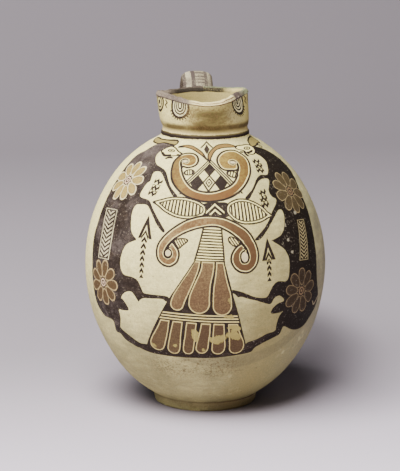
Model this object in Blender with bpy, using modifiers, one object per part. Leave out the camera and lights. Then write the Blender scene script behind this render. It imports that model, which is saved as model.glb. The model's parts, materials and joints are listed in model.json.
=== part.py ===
"""A painted pottery jug: one fired piece, hollow, with a disc foot, a low neck, a three-lobed lip and a strap handle.

The jug stands on its foot at the origin, +Z up, metres. The spout points to -Y and the handle is at +Y.
"""

import math

import bmesh
import bpy

# The body is two half ellipsoids that share one equator.
BODY_RADIUS = 0.125
EQUATOR_HEIGHT = 0.1455
SHOULDER_RISE = 0.144
BELLY_DROP = 0.151
BODY_WALL = 0.0070

# The foot is a low disc with a shallow recess under it, which leaves a ring to stand on.
FOOT_RADIUS = 0.0545
FOOT_HEIGHT = 0.0090
FOOT_TAPER = 0.0010
FOOT_EDGE = 0.0014
FOOT_RECESS = 0.0030
FOOT_RING = 0.0120
FOOT_SHOULDER_SHARE = 0.85
FOOT_MIDDLE_SHARE = 0.5
FOOT_JOIN_REACH = 0.0010
CORNER_SHARE = 0.3
FLOOR_THICKNESS = 0.0100
FLOOR_SHARE = 0.6
FLOOR_CURVE_RISE = 0.0020

# The neck: a collar on the shoulder, a groove over it, and a wall that flares to the lip.
COLLAR_RADIUS = 0.0456
COLLAR_STEP = 0.0015
COLLAR_RISE = 0.0028
COLLAR_HEIGHT = 0.0040
COLLAR_ROUND = 0.0008
GROOVE_RADIUS = 0.0440
GROOVE_HEIGHT = 0.0045
GROOVE_HOLLOW = 0.0002
MIDDLE = 0.5
NECK_HEIGHT = 0.0323
NECK_BULGE = 0.0010
NECK_BULGE_POWER = 0.6
LIP_RADIUS = 0.0506
LIP_BEVEL = 0.0046
CREST_SHARE = 0.30
NECK_WALL = 0.0058
MOUTH_EASE = 0.0005

# The lip is pinched in at both sides of the spout and pressed flat where the handle leaves it.
PINCH_DEPTH = 0.0115
PINCH_ANGLE = math.radians(52)
PINCH_SPREAD = math.radians(22)
BACK_PRESS = 0.0050
BACK_SPREAD = math.radians(40)
BACK_RISE = 0.0026

# The lip dips at the spout, rises at the side lobes, and leans over to one side as the potter's hand left it.
SPOUT_DIP = 0.0020
SPOUT_SPREAD = math.radians(16)
LOBE_RISE = 0.0044
LOBE_ANGLE = math.radians(88)
LOBE_SPREAD = math.radians(24)
LIP_TILT = 0.0008
LIP_LEAN = 0.0026

# The strap handle rises over the lip and comes down on the shoulder.
HANDLE_WIDTH = 0.0320
HANDLE_THICKNESS = 0.0130
HANDLE_RISE = 0.0156
HANDLE_REACH = 0.0402
HANDLE_FOOT_RADIUS = 0.0800
HANDLE_BITE = 0.0040
HANDLE_ROLL = math.radians(3)
LIP_FLARE = 1.08
LIP_FLARE_SPAN = 0.20
SHOULDER_FLARE = 1.18
SHOULDER_FLARE_SPAN = 0.25

# The strap's route: how deep it is rooted in the lip, and where it passes on its way over and down.
ROOT_SINK = 0.62
ROOT_DROP = 0.35
LEAVE_OUT, LEAVE_UP = 0.25, 0.12
TURN_OUT, TURN_UP = 0.75, 0.15
CREST_OUT = 0.48
BEND_OUT, BEND_DOWN = 0.84, 0.13
FAR_DOWN, FAR_LOW = 0.40, 0.68
LAND_OVER = 0.55

# Facets.
STEPS_ROUND = 64
BELLY_STEPS = 10
SHOULDER_STEPS = 11
NECK_STEPS = 6
RIM_STEPS = 3
HANDLE_STEPS = 20
SECTION_STEPS = 16
MERGE_DISTANCE = 0.00001
SHARP_ANGLE = math.radians(40)

CLAY = (0.67, 0.60, 0.42, 1.0)


def clear_scene():
    for thing in list(bpy.data.objects):
        bpy.data.objects.remove(thing, do_unlink=True)


def new_collection(name, shown):
    made = bpy.data.collections.new(name)
    made.hide_render = not shown
    bpy.context.scene.collection.children.link(made)
    return made


def clay_material():
    made = bpy.data.materials.new("fired_clay")
    made.use_nodes = True
    shader = made.node_tree.nodes["Principled BSDF"]
    shader.inputs["Base Color"].default_value = CLAY
    shader.inputs["Roughness"].default_value = 0.75
    shader.inputs["Metallic"].default_value = 0.0
    return made


def body_radius(height, wall=0.0):
    """The body's radius at a height, less a wall: an ellipse over the equator and another under it."""
    reach = (SHOULDER_RISE if height > EQUATOR_HEIGHT else BELLY_DROP) - wall
    share = (height - EQUATOR_HEIGHT) / reach
    return (BODY_RADIUS - wall) * math.sqrt(max(0.0, 1.0 - share * share))


def body_height(radius, upper, wall=0.0):
    """The height at which the body has this radius, on its shoulder or on its belly."""
    share = math.sqrt(max(0.0, 1.0 - (radius / (BODY_RADIUS - wall)) ** 2))
    if upper:
        return EQUATOR_HEIGHT + (SHOULDER_RISE - wall) * share
    return EQUATOR_HEIGHT - (BELLY_DROP - wall) * share


def body_arc(start, end, steps, upper, wall=0.0):
    """Points of the body's profile from one height to another, spaced evenly in the ellipse's own angle."""
    reach = (SHOULDER_RISE if upper else -BELLY_DROP) + (-wall if upper else wall)

    def angle(height):
        return math.asin(max(-1.0, min(1.0, (height - EQUATOR_HEIGHT) / reach)))

    first, last = angle(start), angle(end)
    turns = [first + (last - first) * i / steps for i in range(steps + 1)]
    return [((BODY_RADIUS - wall) * math.cos(a), EQUATOR_HEIGHT + reach * math.sin(a)) for a in turns]


# Heights that the neck and the foot take from the body.
COLLAR_BASE = body_height(COLLAR_RADIUS + COLLAR_STEP, upper=True)
COLLAR_TOP = COLLAR_BASE + COLLAR_RISE + COLLAR_HEIGHT
GROOVE_TOP = COLLAR_TOP + GROOVE_HEIGHT
LIP_HEIGHT = GROOVE_TOP + NECK_HEIGHT
FLOOR_HEIGHT = FOOT_RECESS + FLOOR_THICKNESS


def neck_radius(height):
    """The neck's outer radius over the groove: a straight flare with a slight bulge low down."""
    t = max(0.0, min(1.0, (height - GROOVE_TOP) / NECK_HEIGHT))
    return GROOVE_RADIUS + (LIP_RADIUS - GROOVE_RADIUS) * t + NECK_BULGE * math.sin(math.pi * t ** NECK_BULGE_POWER)


def outer_profile():
    """Radius and height from under the lip down to the centre of the underside."""
    step = (NECK_HEIGHT - LIP_BEVEL) / NECK_STEPS
    heights = [LIP_HEIGHT - LIP_BEVEL - i * step for i in range(NECK_STEPS + 1)]
    points = [(neck_radius(z), z) for z in heights]
    points += [
        (GROOVE_RADIUS - GROOVE_HOLLOW, GROOVE_TOP - GROOVE_HEIGHT * MIDDLE),
        (COLLAR_RADIUS - COLLAR_ROUND, COLLAR_TOP),
        (COLLAR_RADIUS, COLLAR_TOP - COLLAR_HEIGHT * MIDDLE),
        (COLLAR_RADIUS, COLLAR_BASE + COLLAR_RISE),
    ]
    points += body_arc(COLLAR_BASE, EQUATOR_HEIGHT, SHOULDER_STEPS, upper=True)
    foot_join = max(body_height(FOOT_RADIUS + FOOT_JOIN_REACH, upper=False), FOOT_HEIGHT)
    points += body_arc(EQUATOR_HEIGHT, foot_join, BELLY_STEPS, upper=False)[1:]
    base_radius = FOOT_RADIUS - FOOT_TAPER
    points += [
        (FOOT_RADIUS, FOOT_HEIGHT * FOOT_SHOULDER_SHARE),
        (FOOT_RADIUS - FOOT_TAPER * CORNER_SHARE, FOOT_HEIGHT * FOOT_MIDDLE_SHARE),
        (base_radius, FOOT_EDGE),
        (base_radius - FOOT_EDGE * CORNER_SHARE, FOOT_EDGE * CORNER_SHARE),
        (base_radius - FOOT_EDGE, 0.0),
        (FOOT_RADIUS - FOOT_RING, 0.0),
        (FOOT_RADIUS - FOOT_RING - FOOT_RECESS, FOOT_RECESS),
        (0.0, FOOT_RECESS),
    ]
    return points


def inner_profile():
    """Radius and height from the centre of the floor inside up to the lip."""
    mouth = COLLAR_RADIUS - NECK_WALL + MOUTH_EASE
    neck_start = body_height(mouth, upper=True, wall=BODY_WALL)
    floor_start = body_height(FOOT_RADIUS - BODY_WALL, upper=False, wall=BODY_WALL)
    floor_start = max(floor_start, FLOOR_HEIGHT + FLOOR_CURVE_RISE)
    points = [(0.0, FLOOR_HEIGHT), (FLOOR_SHARE * (FOOT_RADIUS - BODY_WALL), FLOOR_HEIGHT)]
    points += body_arc(floor_start, EQUATOR_HEIGHT, BELLY_STEPS - 2, upper=False, wall=BODY_WALL)
    points += body_arc(EQUATOR_HEIGHT, neck_start, SHOULDER_STEPS - 2, upper=True, wall=BODY_WALL)[1:]
    points += [(GROOVE_RADIUS - NECK_WALL, GROOVE_TOP - GROOVE_HEIGHT * MIDDLE)]
    step = (NECK_HEIGHT - NECK_WALL * CREST_SHARE) / NECK_STEPS
    heights = [GROOVE_TOP + i * step for i in range(NECK_STEPS + 1)]
    points += [(neck_radius(z) - NECK_WALL, z) for z in heights]
    return points


def rim_profile():
    """The lip's edge: a tight quarter round from the inner wall to the crest, then a long bevel down to the outer."""
    inner_reach = NECK_WALL * CREST_SHARE
    outer_reach = NECK_WALL - inner_reach
    crest = neck_radius(LIP_HEIGHT) - outer_reach
    points = []
    for i in range(1, 2 * RIM_STEPS):
        a = math.pi * (1 - i / (2 * RIM_STEPS))
        if i < RIM_STEPS:
            points.append((crest + inner_reach * math.cos(a), LIP_HEIGHT - inner_reach * (1 - math.sin(a))))
        else:
            points.append((crest + outer_reach * math.cos(a), LIP_HEIGHT - LIP_BEVEL * (1 - math.sin(a))))
    return points


def turned_shape(name, profile, keep_in):
    """A profile of (radius, height) turned round the Z axis by a Screw modifier."""
    mesh = bpy.data.meshes.new(name)
    edges = [(i, i + 1) for i in range(len(profile) - 1)]
    mesh.from_pydata([(r, 0.0, z) for r, z in profile], edges, [])
    made = bpy.data.objects.new(name, mesh)
    keep_in.objects.link(made)
    screw = made.modifiers.new("turn", "SCREW")
    screw.axis = "Z"
    screw.angle = 2 * math.pi
    screw.steps = screw.render_steps = STEPS_ROUND
    screw.use_merge_vertices = True
    screw.merge_threshold = MERGE_DISTANCE
    return made


def made_solid(source, name, keep_in):
    """The source as the viewport shows it, as a plain mesh object with its doubles merged; the source is removed."""
    bpy.context.view_layer.update()
    seen = source.evaluated_get(bpy.context.evaluated_depsgraph_get())
    mesh = bpy.data.meshes.new_from_object(seen)
    mesh.transform(source.matrix_world)
    bpy.data.objects.remove(source, do_unlink=True)
    work = bmesh.new()
    work.from_mesh(mesh)
    bmesh.ops.remove_doubles(work, verts=work.verts, dist=MERGE_DISTANCE)
    bmesh.ops.recalc_face_normals(work, faces=work.faces)
    work.to_mesh(mesh)
    work.free()
    mesh.name = name
    made = bpy.data.objects.new(name, mesh)
    keep_in.objects.link(made)
    return made


def hump(angle, centre, spread):
    """A smooth hump of height 1 at centre, round the jug."""
    away = math.atan2(math.sin(angle - centre), math.cos(angle - centre))
    return math.exp(-0.5 * (away / spread) ** 2)


def lip_push(angle):
    """How far the lip's edge is pressed inwards at an angle from the spout."""
    pinch = hump(angle, PINCH_ANGLE, PINCH_SPREAD) + hump(angle, -PINCH_ANGLE, PINCH_SPREAD)
    return PINCH_DEPTH * pinch + BACK_PRESS * hump(angle, math.pi, BACK_SPREAD)


def lip_lift(angle):
    """How far the lip's edge stands over its turned height at an angle from the spout."""
    lobes = hump(angle, LOBE_ANGLE, LOBE_SPREAD) + hump(angle, -LOBE_ANGLE, LOBE_SPREAD)
    back = BACK_RISE * hump(angle, math.pi, BACK_SPREAD)
    return LOBE_RISE * lobes + back - SPOUT_DIP * hump(angle, 0.0, SPOUT_SPREAD) + LIP_TILT * math.sin(angle)


def pinch_lip(jug):
    """Presses the turned lip into three lobes. The push fades out down the neck, so the groove stays round."""
    for vertex in jug.data.vertices:
        x, y, z = vertex.co
        t = max(0.0, min(1.0, (z - GROOVE_TOP) / NECK_HEIGHT))
        angle = math.atan2(x, -y)
        radius = math.hypot(x, y)
        if t > 0.0 and radius > 0.0:
            share = t * t * (3 - 2 * t)
            pushed = radius - lip_push(angle) * share
            vertex.co.x = x * pushed / radius - LIP_LEAN * t
            vertex.co.y = y * pushed / radius
            vertex.co.z = z + lip_lift(angle) * share


def smooth_route(points, steps):
    """A curve through the points, worked out as a Catmull-Rom spline."""
    ends = [[2 * a - b for a, b in zip(points[0], points[1])], [2 * a - b for a, b in zip(points[-1], points[-2])]]
    all_points = [ends[0], *points, ends[1]]
    spans = len(points) - 1
    route = []
    for i in range(steps + 1):
        where = min(spans - 1e-9, i * spans / steps)
        k = int(where)
        t = where - k
        a, b, c, d = all_points[k : k + 4]
        route.append(
            [
                0.5 * (2 * q + (r - p) * t + (2 * p - 5 * q + 4 * r - s) * t * t + (3 * q - p - 3 * r + s) * t ** 3)
                for p, q, r, s in zip(a, b, c, d)
            ]
        )
    return route


def handle_route():
    """The handle's centreline in the plane x = 0, as (y, z). It leaves the lip's wall level and ends square to the
    shoulder, so both ends are sunk in a wall."""
    lip_back = neck_radius(LIP_HEIGHT) - lip_push(math.pi)
    root = LIP_HEIGHT - LIP_BEVEL - HANDLE_THICKNESS * ROOT_DROP
    crest = LIP_HEIGHT + HANDLE_RISE - HANDLE_THICKNESS / 2
    far = COLLAR_RADIUS + HANDLE_REACH
    foot_height = body_height(HANDLE_FOOT_RADIUS, upper=True)
    out = (HANDLE_FOOT_RADIUS / BODY_RADIUS ** 2, (foot_height - EQUATOR_HEIGHT) / SHOULDER_RISE ** 2)
    out = [part / math.hypot(*out) for part in out]
    sunk = (HANDLE_FOOT_RADIUS - HANDLE_BITE * out[0], foot_height - HANDLE_BITE * out[1])
    over = HANDLE_THICKNESS * LAND_OVER
    above = (HANDLE_FOOT_RADIUS + over * out[0], foot_height + over * out[1])
    drop = crest - foot_height
    return smooth_route(
        [
            (lip_back - NECK_WALL * ROOT_SINK, root),
            (lip_back + HANDLE_THICKNESS * LEAVE_OUT, root + HANDLE_THICKNESS * LEAVE_UP),
            (lip_back + HANDLE_THICKNESS * TURN_OUT, LIP_HEIGHT + HANDLE_RISE * TURN_UP),
            (lip_back + (far - lip_back) * CREST_OUT, crest),
            (lip_back + (far - lip_back) * BEND_OUT, crest - drop * BEND_DOWN),
            (far, crest - drop * FAR_DOWN),
            (far, crest - drop * FAR_LOW),
            above,
            sunk,
        ],
        HANDLE_STEPS,
    )


def strap_section(keep_in):
    """The strap's section, an ellipse."""
    curve = bpy.data.curves.new("strap_section", "CURVE")
    curve.dimensions = "2D"
    spline = curve.splines.new("POLY")
    spline.points.add(SECTION_STEPS - 1)
    for i, point in enumerate(spline.points):
        a = 2 * math.pi * i / SECTION_STEPS
        point.co = (HANDLE_WIDTH / 2 * math.cos(a), HANDLE_THICKNESS / 2 * math.sin(a), 0.0, 1.0)
    spline.use_cyclic_u = True
    made = bpy.data.objects.new("strap_section", curve)
    made.hide_render = True
    keep_in.objects.link(made)
    return made


def handle_solid(helpers):
    """The strap swept along its route, wider at both joins and rolled a little where it leaves the lip."""
    curve = bpy.data.curves.new("handle_strap", "CURVE")
    curve.dimensions = "3D"
    curve.twist_mode = "MINIMUM"
    curve.bevel_mode = "OBJECT"
    curve.bevel_object = strap_section(helpers)
    curve.use_fill_caps = True
    spline = curve.splines.new("POLY")
    route = handle_route()
    spline.points.add(len(route) - 1)
    for i, (point, (y, z)) in enumerate(zip(spline.points, route)):
        point.co = (0.0, y, z, 1.0)
        along = i / (len(route) - 1)
        lip_end = (LIP_FLARE - 1.0) * max(0.0, 1.0 - along / LIP_FLARE_SPAN) ** 2
        shoulder_end = (SHOULDER_FLARE - 1.0) * max(0.0, 1.0 - (1.0 - along) / SHOULDER_FLARE_SPAN) ** 2
        point.radius = 1.0 + lip_end + shoulder_end
        point.tilt = HANDLE_ROLL * (1.0 - along)
    swept = bpy.data.objects.new("handle_strap", curve)
    helpers.objects.link(swept)
    strap = made_solid(swept, "strap", helpers)
    strap.hide_render = True
    strap.display_type = "WIRE"
    return strap


def build_jug():
    parts = new_collection("painted_jug", shown=True)
    helpers = new_collection("helpers", shown=True)
    profile = inner_profile() + rim_profile() + outer_profile()
    jug = made_solid(turned_shape("turned_jug", profile, parts), "jug", parts)
    pinch_lip(jug)
    join = jug.modifiers.new("join_handle", "BOOLEAN")
    join.operation = "UNION"
    join.solver = "EXACT"
    join.object = handle_solid(helpers)
    jug.data.materials.clear()
    jug.data.materials.append(clay_material())
    jug.data.shade_smooth()
    jug.data.set_sharp_from_angle(angle=SHARP_ANGLE)


clear_scene()
build_jug()
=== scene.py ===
"""Looks of the painted pottery jug: the fine clay surface, its painted picture, and the stage it stands on.

The spout points to -Y and the handle is at +Y. The picture is laid out on a wall chart in millimetres: u runs
round the body at its widest, to the right of the picture's middle, and v is the height.
"""

import json
import math

import bpy
import numpy as np
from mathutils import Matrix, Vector

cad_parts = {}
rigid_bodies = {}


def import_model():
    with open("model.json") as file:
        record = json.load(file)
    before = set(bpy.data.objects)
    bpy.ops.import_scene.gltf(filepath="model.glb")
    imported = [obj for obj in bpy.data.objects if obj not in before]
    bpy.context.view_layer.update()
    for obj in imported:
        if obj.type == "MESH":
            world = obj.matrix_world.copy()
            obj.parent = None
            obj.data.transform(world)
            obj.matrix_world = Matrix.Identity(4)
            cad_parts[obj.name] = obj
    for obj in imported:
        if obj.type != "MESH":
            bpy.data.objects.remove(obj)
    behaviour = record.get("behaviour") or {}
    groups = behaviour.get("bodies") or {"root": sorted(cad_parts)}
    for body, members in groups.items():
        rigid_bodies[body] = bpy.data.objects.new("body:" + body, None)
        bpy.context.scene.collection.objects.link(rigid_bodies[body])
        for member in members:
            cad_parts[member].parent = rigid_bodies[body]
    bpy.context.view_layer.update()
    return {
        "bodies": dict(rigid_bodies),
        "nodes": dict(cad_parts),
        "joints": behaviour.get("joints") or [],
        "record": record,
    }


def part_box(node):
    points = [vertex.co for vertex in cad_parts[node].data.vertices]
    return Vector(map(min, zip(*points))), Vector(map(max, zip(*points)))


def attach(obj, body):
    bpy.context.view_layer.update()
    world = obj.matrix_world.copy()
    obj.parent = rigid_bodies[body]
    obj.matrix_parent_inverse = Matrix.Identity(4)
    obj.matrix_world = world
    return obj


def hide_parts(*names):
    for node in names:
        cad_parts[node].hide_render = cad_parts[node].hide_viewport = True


bl_info = {
    "name": "Painted pottery jug",
    "version": (1, 0, 0),
    "blender": (4, 5, 0),
    "location": "3D View > Sidebar > Jug",
    "description": "Makes a painted, thrown clay jug and a plain stage for it",
    "category": "Add Mesh",
}

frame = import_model()
JUG_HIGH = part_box("jug")[1]

MM = 1000.0

# The form, as in the solid. Metres.
BODY_RADIUS = JUG_HIGH.x
EQUATOR_HEIGHT = 0.1455
SHOULDER_RISE = 0.144
BELLY_DROP = 0.151
BODY_WALL = 0.0070
FOOT_RADIUS = 0.0545
FOOT_HEIGHT = 0.0090
FOOT_TAPER = 0.0010
FOOT_EDGE = 0.0014
FOOT_RECESS = 0.0030
FOOT_RING = 0.0120
FLOOR_THICKNESS = 0.0100
COLLAR_RADIUS = 0.0456
COLLAR_STEP = 0.0015
COLLAR_RISE = 0.0028
COLLAR_HEIGHT = 0.0040
GROOVE_RADIUS = 0.0440
GROOVE_HEIGHT = 0.0045
NECK_HEIGHT = 0.0323
NECK_BULGE = 0.0010
LIP_RADIUS = 0.0506
LIP_BEVEL = 0.0046
CREST_SHARE = 0.30
NECK_WALL = 0.0058
PINCH_DEPTH = 0.0115
PINCH_ANGLE = math.radians(52)
PINCH_SPREAD = math.radians(22)
BACK_PRESS = 0.0050
BACK_SPREAD = math.radians(40)
BACK_RISE = 0.0026
SPOUT_DIP = 0.0020
SPOUT_SPREAD = math.radians(16)
LOBE_RISE = 0.0044
LOBE_ANGLE = math.radians(88)
LOBE_SPREAD = math.radians(24)
LIP_TILT = 0.0008
LIP_LEAN = 0.0026
HANDLE_WIDTH = 0.0320
HANDLE_THICKNESS = 0.0130
HANDLE_RISE = 0.0156
HANDLE_REACH = 0.0402
HANDLE_FOOT_RADIUS = 0.0800
HANDLE_BITE = 0.0040
HANDLE_ROLL = math.radians(3)
LIP_FLARE = 1.08
SHOULDER_FLARE = 1.18

# The grid: fine where the picture is, coarse behind and inside.
PICTURE_START = math.radians(-90)
PICTURE_END = math.radians(76)
PICTURE_COLUMNS = 246
BACK_COLUMNS = 68
PICTURE_LOW = 0.068
HANDLE_STEPS = 72
HANDLE_ROUND = 40

# Boxes of the bake square as (left, low, right, high).
LOW_BOX = (0.002, 0.002, 0.498, 0.178)
INSIDE_BOX = (0.502, 0.002, 0.748, 0.178)
STRAP_BOX = (0.752, 0.002, 0.998, 0.178)
PICTURE_BOX = (0.002, 0.182, 0.838, 0.998)
BACK_BOX = (0.842, 0.182, 0.998, 0.998)

# Sizes of the unevenness, in metres.
DENT_SIZE = 0.07
RING_SPACING = 0.0062
RING_WANDER = 0.05
RING_PATCH = 0.04
WEAR_SIZE = 0.009
NICK_GRAIN = 0.003

# Zones of the surface, kept as an attribute.
UNDERSIDE, WALL, LIP, INSIDE, STRAP = 0.0, 1.0, 2.0, 3.0, 4.0

# The picture's middle stands a little to the left of the spout.
PICTURE_TURN = math.radians(8)

# Distances to strokes are kept up to this many mm, and a brush edge is blurred by this much to each side.
FAR = 12.0
SOFT_EDGE = 0.22

# The part of the chart that is painted: its lowest and highest v, and how far it reaches to each side.
CHART_LOW = 55.0
CHART_TOP = 300.0
CHART_REACH = 225.0

# Closed outlines as (u, v), smooth through their points; a point given twice is a corner.
GOATS = [
    [(-74, 275.5), (-94, 276.5), (-117, 276.5), (-137, 274.5), (-148, 268), (-159, 263), (-160, 257),
     (-155, 242), (-152, 217), (-150, 196), (-150.5, 182), (-146.5, 158), (-145, 136), (-141, 116),
     (-134, 109), (-126, 104.5), (-111, 102.5), (-110, 91.5), (-103, 90), (-97, 84.5), (-88, 81),
     (-79, 78.5), (-70, 82), (-77, 84.5), (-88, 90), (-99.5, 96.5), (-99, 101), (-97, 108), (-98, 118),
     (-98, 118), (-94.5, 117), (-88.5, 117.5), (-83.5, 118.5), (-84.5, 122), (-90, 128.5), (-93, 129.5),
     (-91, 133), (-86, 137), (-79, 138.5), (-74, 134.5), (-70, 129.5), (-67.5, 132), (-63, 134),
     (-54, 134.5), (-43, 135), (-39.5, 132.5), (-36, 134.5), (-38, 138), (-50, 138.5), (-63, 139),
     (-65.5, 142), (-70.5, 150.5), (-77, 153.5), (-86, 154), (-90.5, 156), (-94, 163), (-94, 172),
     (-90, 182.5), (-83, 187.5), (-75.5, 190.5), (-75.5, 190.5), (-83, 195.5), (-87, 202), (-90.5, 214),
     (-89, 221.5), (-82, 223.5), (-72.5, 223.5), (-65, 218), (-57, 209.5), (-51.5, 204), (-46, 200),
     (-44.5, 202.5), (-56, 214), (-64.5, 222), (-72, 228), (-87, 230.5), (-87, 238), (-84.5, 243),
     (-81, 245), (-82.5, 252.5), (-71.5, 253.5), (-61, 248.5), (-51, 241), (-41, 233.5), (-35, 234),
     (-46.5, 241.5), (-61.5, 254), (-74.5, 257.5), (-88, 260), (-100, 265.5), (-101.5, 268.5), (-98, 271),
     (-91.5, 273), (-86.5, 274.5)],
    [(118, 274), (146, 270), (166, 262), (174, 251), (166, 241), (157, 233.5), (151.5, 225), (148.5, 208),
     (144.5, 188), (142.5, 165), (141.5, 147), (145, 133), (151, 122), (151, 114), (146, 107), (138, 101),
     (128, 93.5), (114, 92), (103, 94.5), (91, 100), (88.5, 97.5), (87, 92.5), (81, 90), (68.5, 86.5),
     (57.5, 82), (50, 76.5), (44.5, 87), (57, 91), (68.5, 95), (79, 97), (79.5, 104), (82, 113), (89, 119),
     (89, 119), (83.5, 116.5), (76, 116), (70, 117.5), (72.5, 122.5), (78, 126), (85, 127.5), (85, 130.5),
     (79, 134.5), (73, 132.5), (68.5, 127), (58, 130.5), (44.5, 135), (36, 138), (33, 137.5), (29.5, 141),
     (26, 143), (26.5, 145.5), (38, 142), (49, 137), (60, 134.5), (65, 136), (70.5, 145.5), (77, 149.5),
     (87, 148), (91, 152), (93, 165), (92, 173), (87, 181), (73, 190), (73, 190), (86, 193.5), (93, 200),
     (97.5, 209), (97.5, 216.5), (91, 216.5), (81, 209.5), (69, 199.5), (60, 192.5), (53.5, 193),
     (69.5, 204.5), (81, 215.5), (94.5, 226), (89.5, 230), (88.5, 236), (97.5, 244.5), (90, 246.5),
     (77.5, 244.5), (60.5, 233.5), (56.5, 230.5), (50.5, 231.5), (63.5, 238.5), (76, 246.5), (87.5, 250),
     (100.5, 249.5), (112.5, 256), (117.5, 260.5), (115.5, 264.5), (110, 267.5), (116, 270), (119.5, 272)],
]
HEADS = [
    [(-98.5, 271), (-90, 274), (-81, 275), (-69, 274), (-56.5, 271.5), (-47.5, 270), (-54.5, 268.5),
     (-71, 267.5), (-82, 267), (-92, 269)],
    [(72, 274), (78.5, 275.5), (93.5, 275.5), (109, 275.5), (118, 274.5), (119.5, 272), (115, 269.5),
     (103.5, 267.5), (92, 268.5), (86.5, 271.5), (78.5, 272.5)],
]
HORNS = [
    [(-193, 277.5), (-169, 275.2), (-135.5, 275), (-117, 276.5), (-84, 276.2), (-76, 276.4), (-74.5, 278),
     (-79.5, 280), (-94, 280), (-122, 279), (-151, 278.6), (-173, 278.6)],
    [(190, 279.3), (165.5, 279.7), (138, 278.2), (128, 277), (119.5, 274.2), (122, 273), (138, 273),
     (158, 274), (172, 273.5), (188.5, 278)],
]

# The tree: an arch that curls up at its ends, a broad loop over it, and two strokes that close it as a heart.
ARCH = [
    [(38, 191), (31, 197), (23.5, 202), (14, 206), (5, 206.5), (-7, 205), (-18.5, 201.5), (-28, 197),
     (-33.5, 193), (-31.5, 190), (-27.5, 185.5), (-26, 179.5), (-28, 172.5), (-33, 168.5), (-37.5, 167.5),
     (-43.5, 169), (-49, 173.5), (-51.5, 181), (-50, 190), (-43, 199), (-34, 206), (-22, 212.5),
     (-7.5, 216.5), (7.5, 217), (22, 215), (36.5, 209), (47.5, 201), (54, 190.5), (56.5, 179.5), (54, 169),
     (47.5, 162.5), (41.5, 161), (34, 162.5), (28, 168), (25.5, 175), (27.5, 182), (32, 187.5),
     (36.5, 190)],
]
LOOP = [
    [(-37.5, 259), (-30, 258.5), (-23, 259), (-15, 261), (-11, 265), (-15, 269), (-25, 271), (-38, 271),
     (-49, 269.5), (-55.5, 265.5), (-57, 261.5), (-53.5, 253.5), (-48, 246.5), (-38, 240), (-26.5, 234.5),
     (-13.5, 231), (0, 229), (14, 229.5), (28.5, 231.5), (44.5, 236.5), (60, 244.5), (72.5, 253), (80, 261),
     (81, 264.5), (78.5, 268), (68.5, 272), (59, 273), (48, 273), (36, 272), (25, 269), (20.5, 265),
     (22, 260.5), (28, 257), (36, 256), (50.5, 255.7), (50.5, 255.7), (45, 249.5), (35, 244), (22, 240.5),
     (8, 238.5), (-5.5, 239), (-17, 242), (-26, 247), (-33.5, 253.5)],
]
HEART = [
    [(-64.5, 275.5), (-50.5, 277), (-35, 277), (-22, 275.5), (-6.5, 272), (2, 267), (8, 263.5), (8, 263.5),
     (2, 266), (-9.5, 270), (-28, 274), (-51, 275.5)],
    [(77.5, 275), (63, 277.5), (47, 278), (28, 277), (11, 273), (5, 268.5), (8, 263.5), (8, 263.5),
     (12, 268), (22, 273), (40, 275), (63.5, 275)],
]
TONGUES = [
    [(-33, 193.5), (-28, 195), (-22, 195.5), (-18, 194), (-20.5, 191), (-24, 188.5), (-27.5, 186)],
    [(37, 191.5), (31.5, 195.5), (27.5, 197), (24.5, 196), (24.5, 193), (27, 190), (32, 187.5)],
]

# Brush strokes as (u, v, half width).
GROUND = [
    [(-78, 81, 2.6), (-68, 79.6, 4.6), (-58, 77.8, 4.2), (-45, 77, 4.0), (-22, 76, 3.6), (4, 75.8, 3.6),
     (24, 77.2, 3.6), (40, 79.4, 4.4), (50, 81, 4.8)],
]
BETWEEN_LEAVES = [[(3, 222, 7.5), (12, 222, 8.5), (22, 222, 8)]]

# Thin lines, in two sets whose members stay clear of each other, and how far from a line it is known, in mm.
LINE_REACH = 3.4
LINES = [
    [(-38, 258.5, 0.6), (-41.5, 261.5, 0.6), (-42.5, 263.5, 0.6), (-40.5, 265.3, 0.6), (-36, 265.8, 0.6),
     (-31.5, 265, 0.5), (-31, 263.5, 0.4), (-34, 262.7, 0.3)],
    [(51.5, 255.2, 0.6), (54.5, 258, 0.6), (56, 261, 0.6), (54.5, 263, 0.6), (50.5, 264.2, 0.6),
     (45.5, 264, 0.6), (43, 263, 0.6), (45, 261.8, 0.5), (50, 261.5, 0.4)],
    [(-32.5, 194, 0.7), (-35, 192.2, 0.7), (-38, 189, 0.7), (-40, 186, 0.7), (-41.5, 183, 0.7),
     (-42, 180, 0.7), (-40.5, 177.7, 0.7), (-38, 177, 0.7), (-36, 178, 0.7), (-35, 180.5, 0.7),
     (-36, 183.5, 0.6), (-38.5, 185, 0.5)],
    [(38, 190.5, 0.7), (40, 188.5, 0.7), (42, 186, 0.7), (43.5, 182.5, 0.7), (44.5, 179, 0.7),
     (44.5, 175.5, 0.7), (43, 172.5, 0.7), (40.5, 171.5, 0.7), (38, 172.5, 0.7), (37, 175.5, 0.7),
     (37, 179, 0.7), (38.5, 181.5, 0.6), (41, 183, 0.5)],
    [(-93, 269.5, 0.7), (-89, 268.5, 0.7), (-83.5, 267.7, 0.7), (-76, 267.8, 0.7), (-70, 268.5, 0.5)],
    [(92, 269.5, 0.7), (97, 269.5, 0.6), (103, 269.8, 0.6), (109, 270.5, 0.4)],
]
FINE_LINES = [
    [(-76, 265, 0.6), (-72, 266, 0.7), (-67, 266.3, 0.6), (-62, 266, 0.4)],
    [(-57, 269.2, 0.5), (-52, 269, 0.4)],
    [(88, 266.7, 0.6), (85.3, 268, 0.7), (85, 269.5, 0.6), (87, 271, 0.4)],
    [(81, 270, 0.4), (77, 270.8, 0.6)],
    [(-64, 275, 0.6), (-57, 275.3, 0.5), (-50, 275.5, 0.4)],
]
PALE_LINES = [
    [(153, 122, 0.5), (147, 117, 0.6), (141, 113.5, 0.6), (136, 118.5, 0.4)],
]
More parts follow.
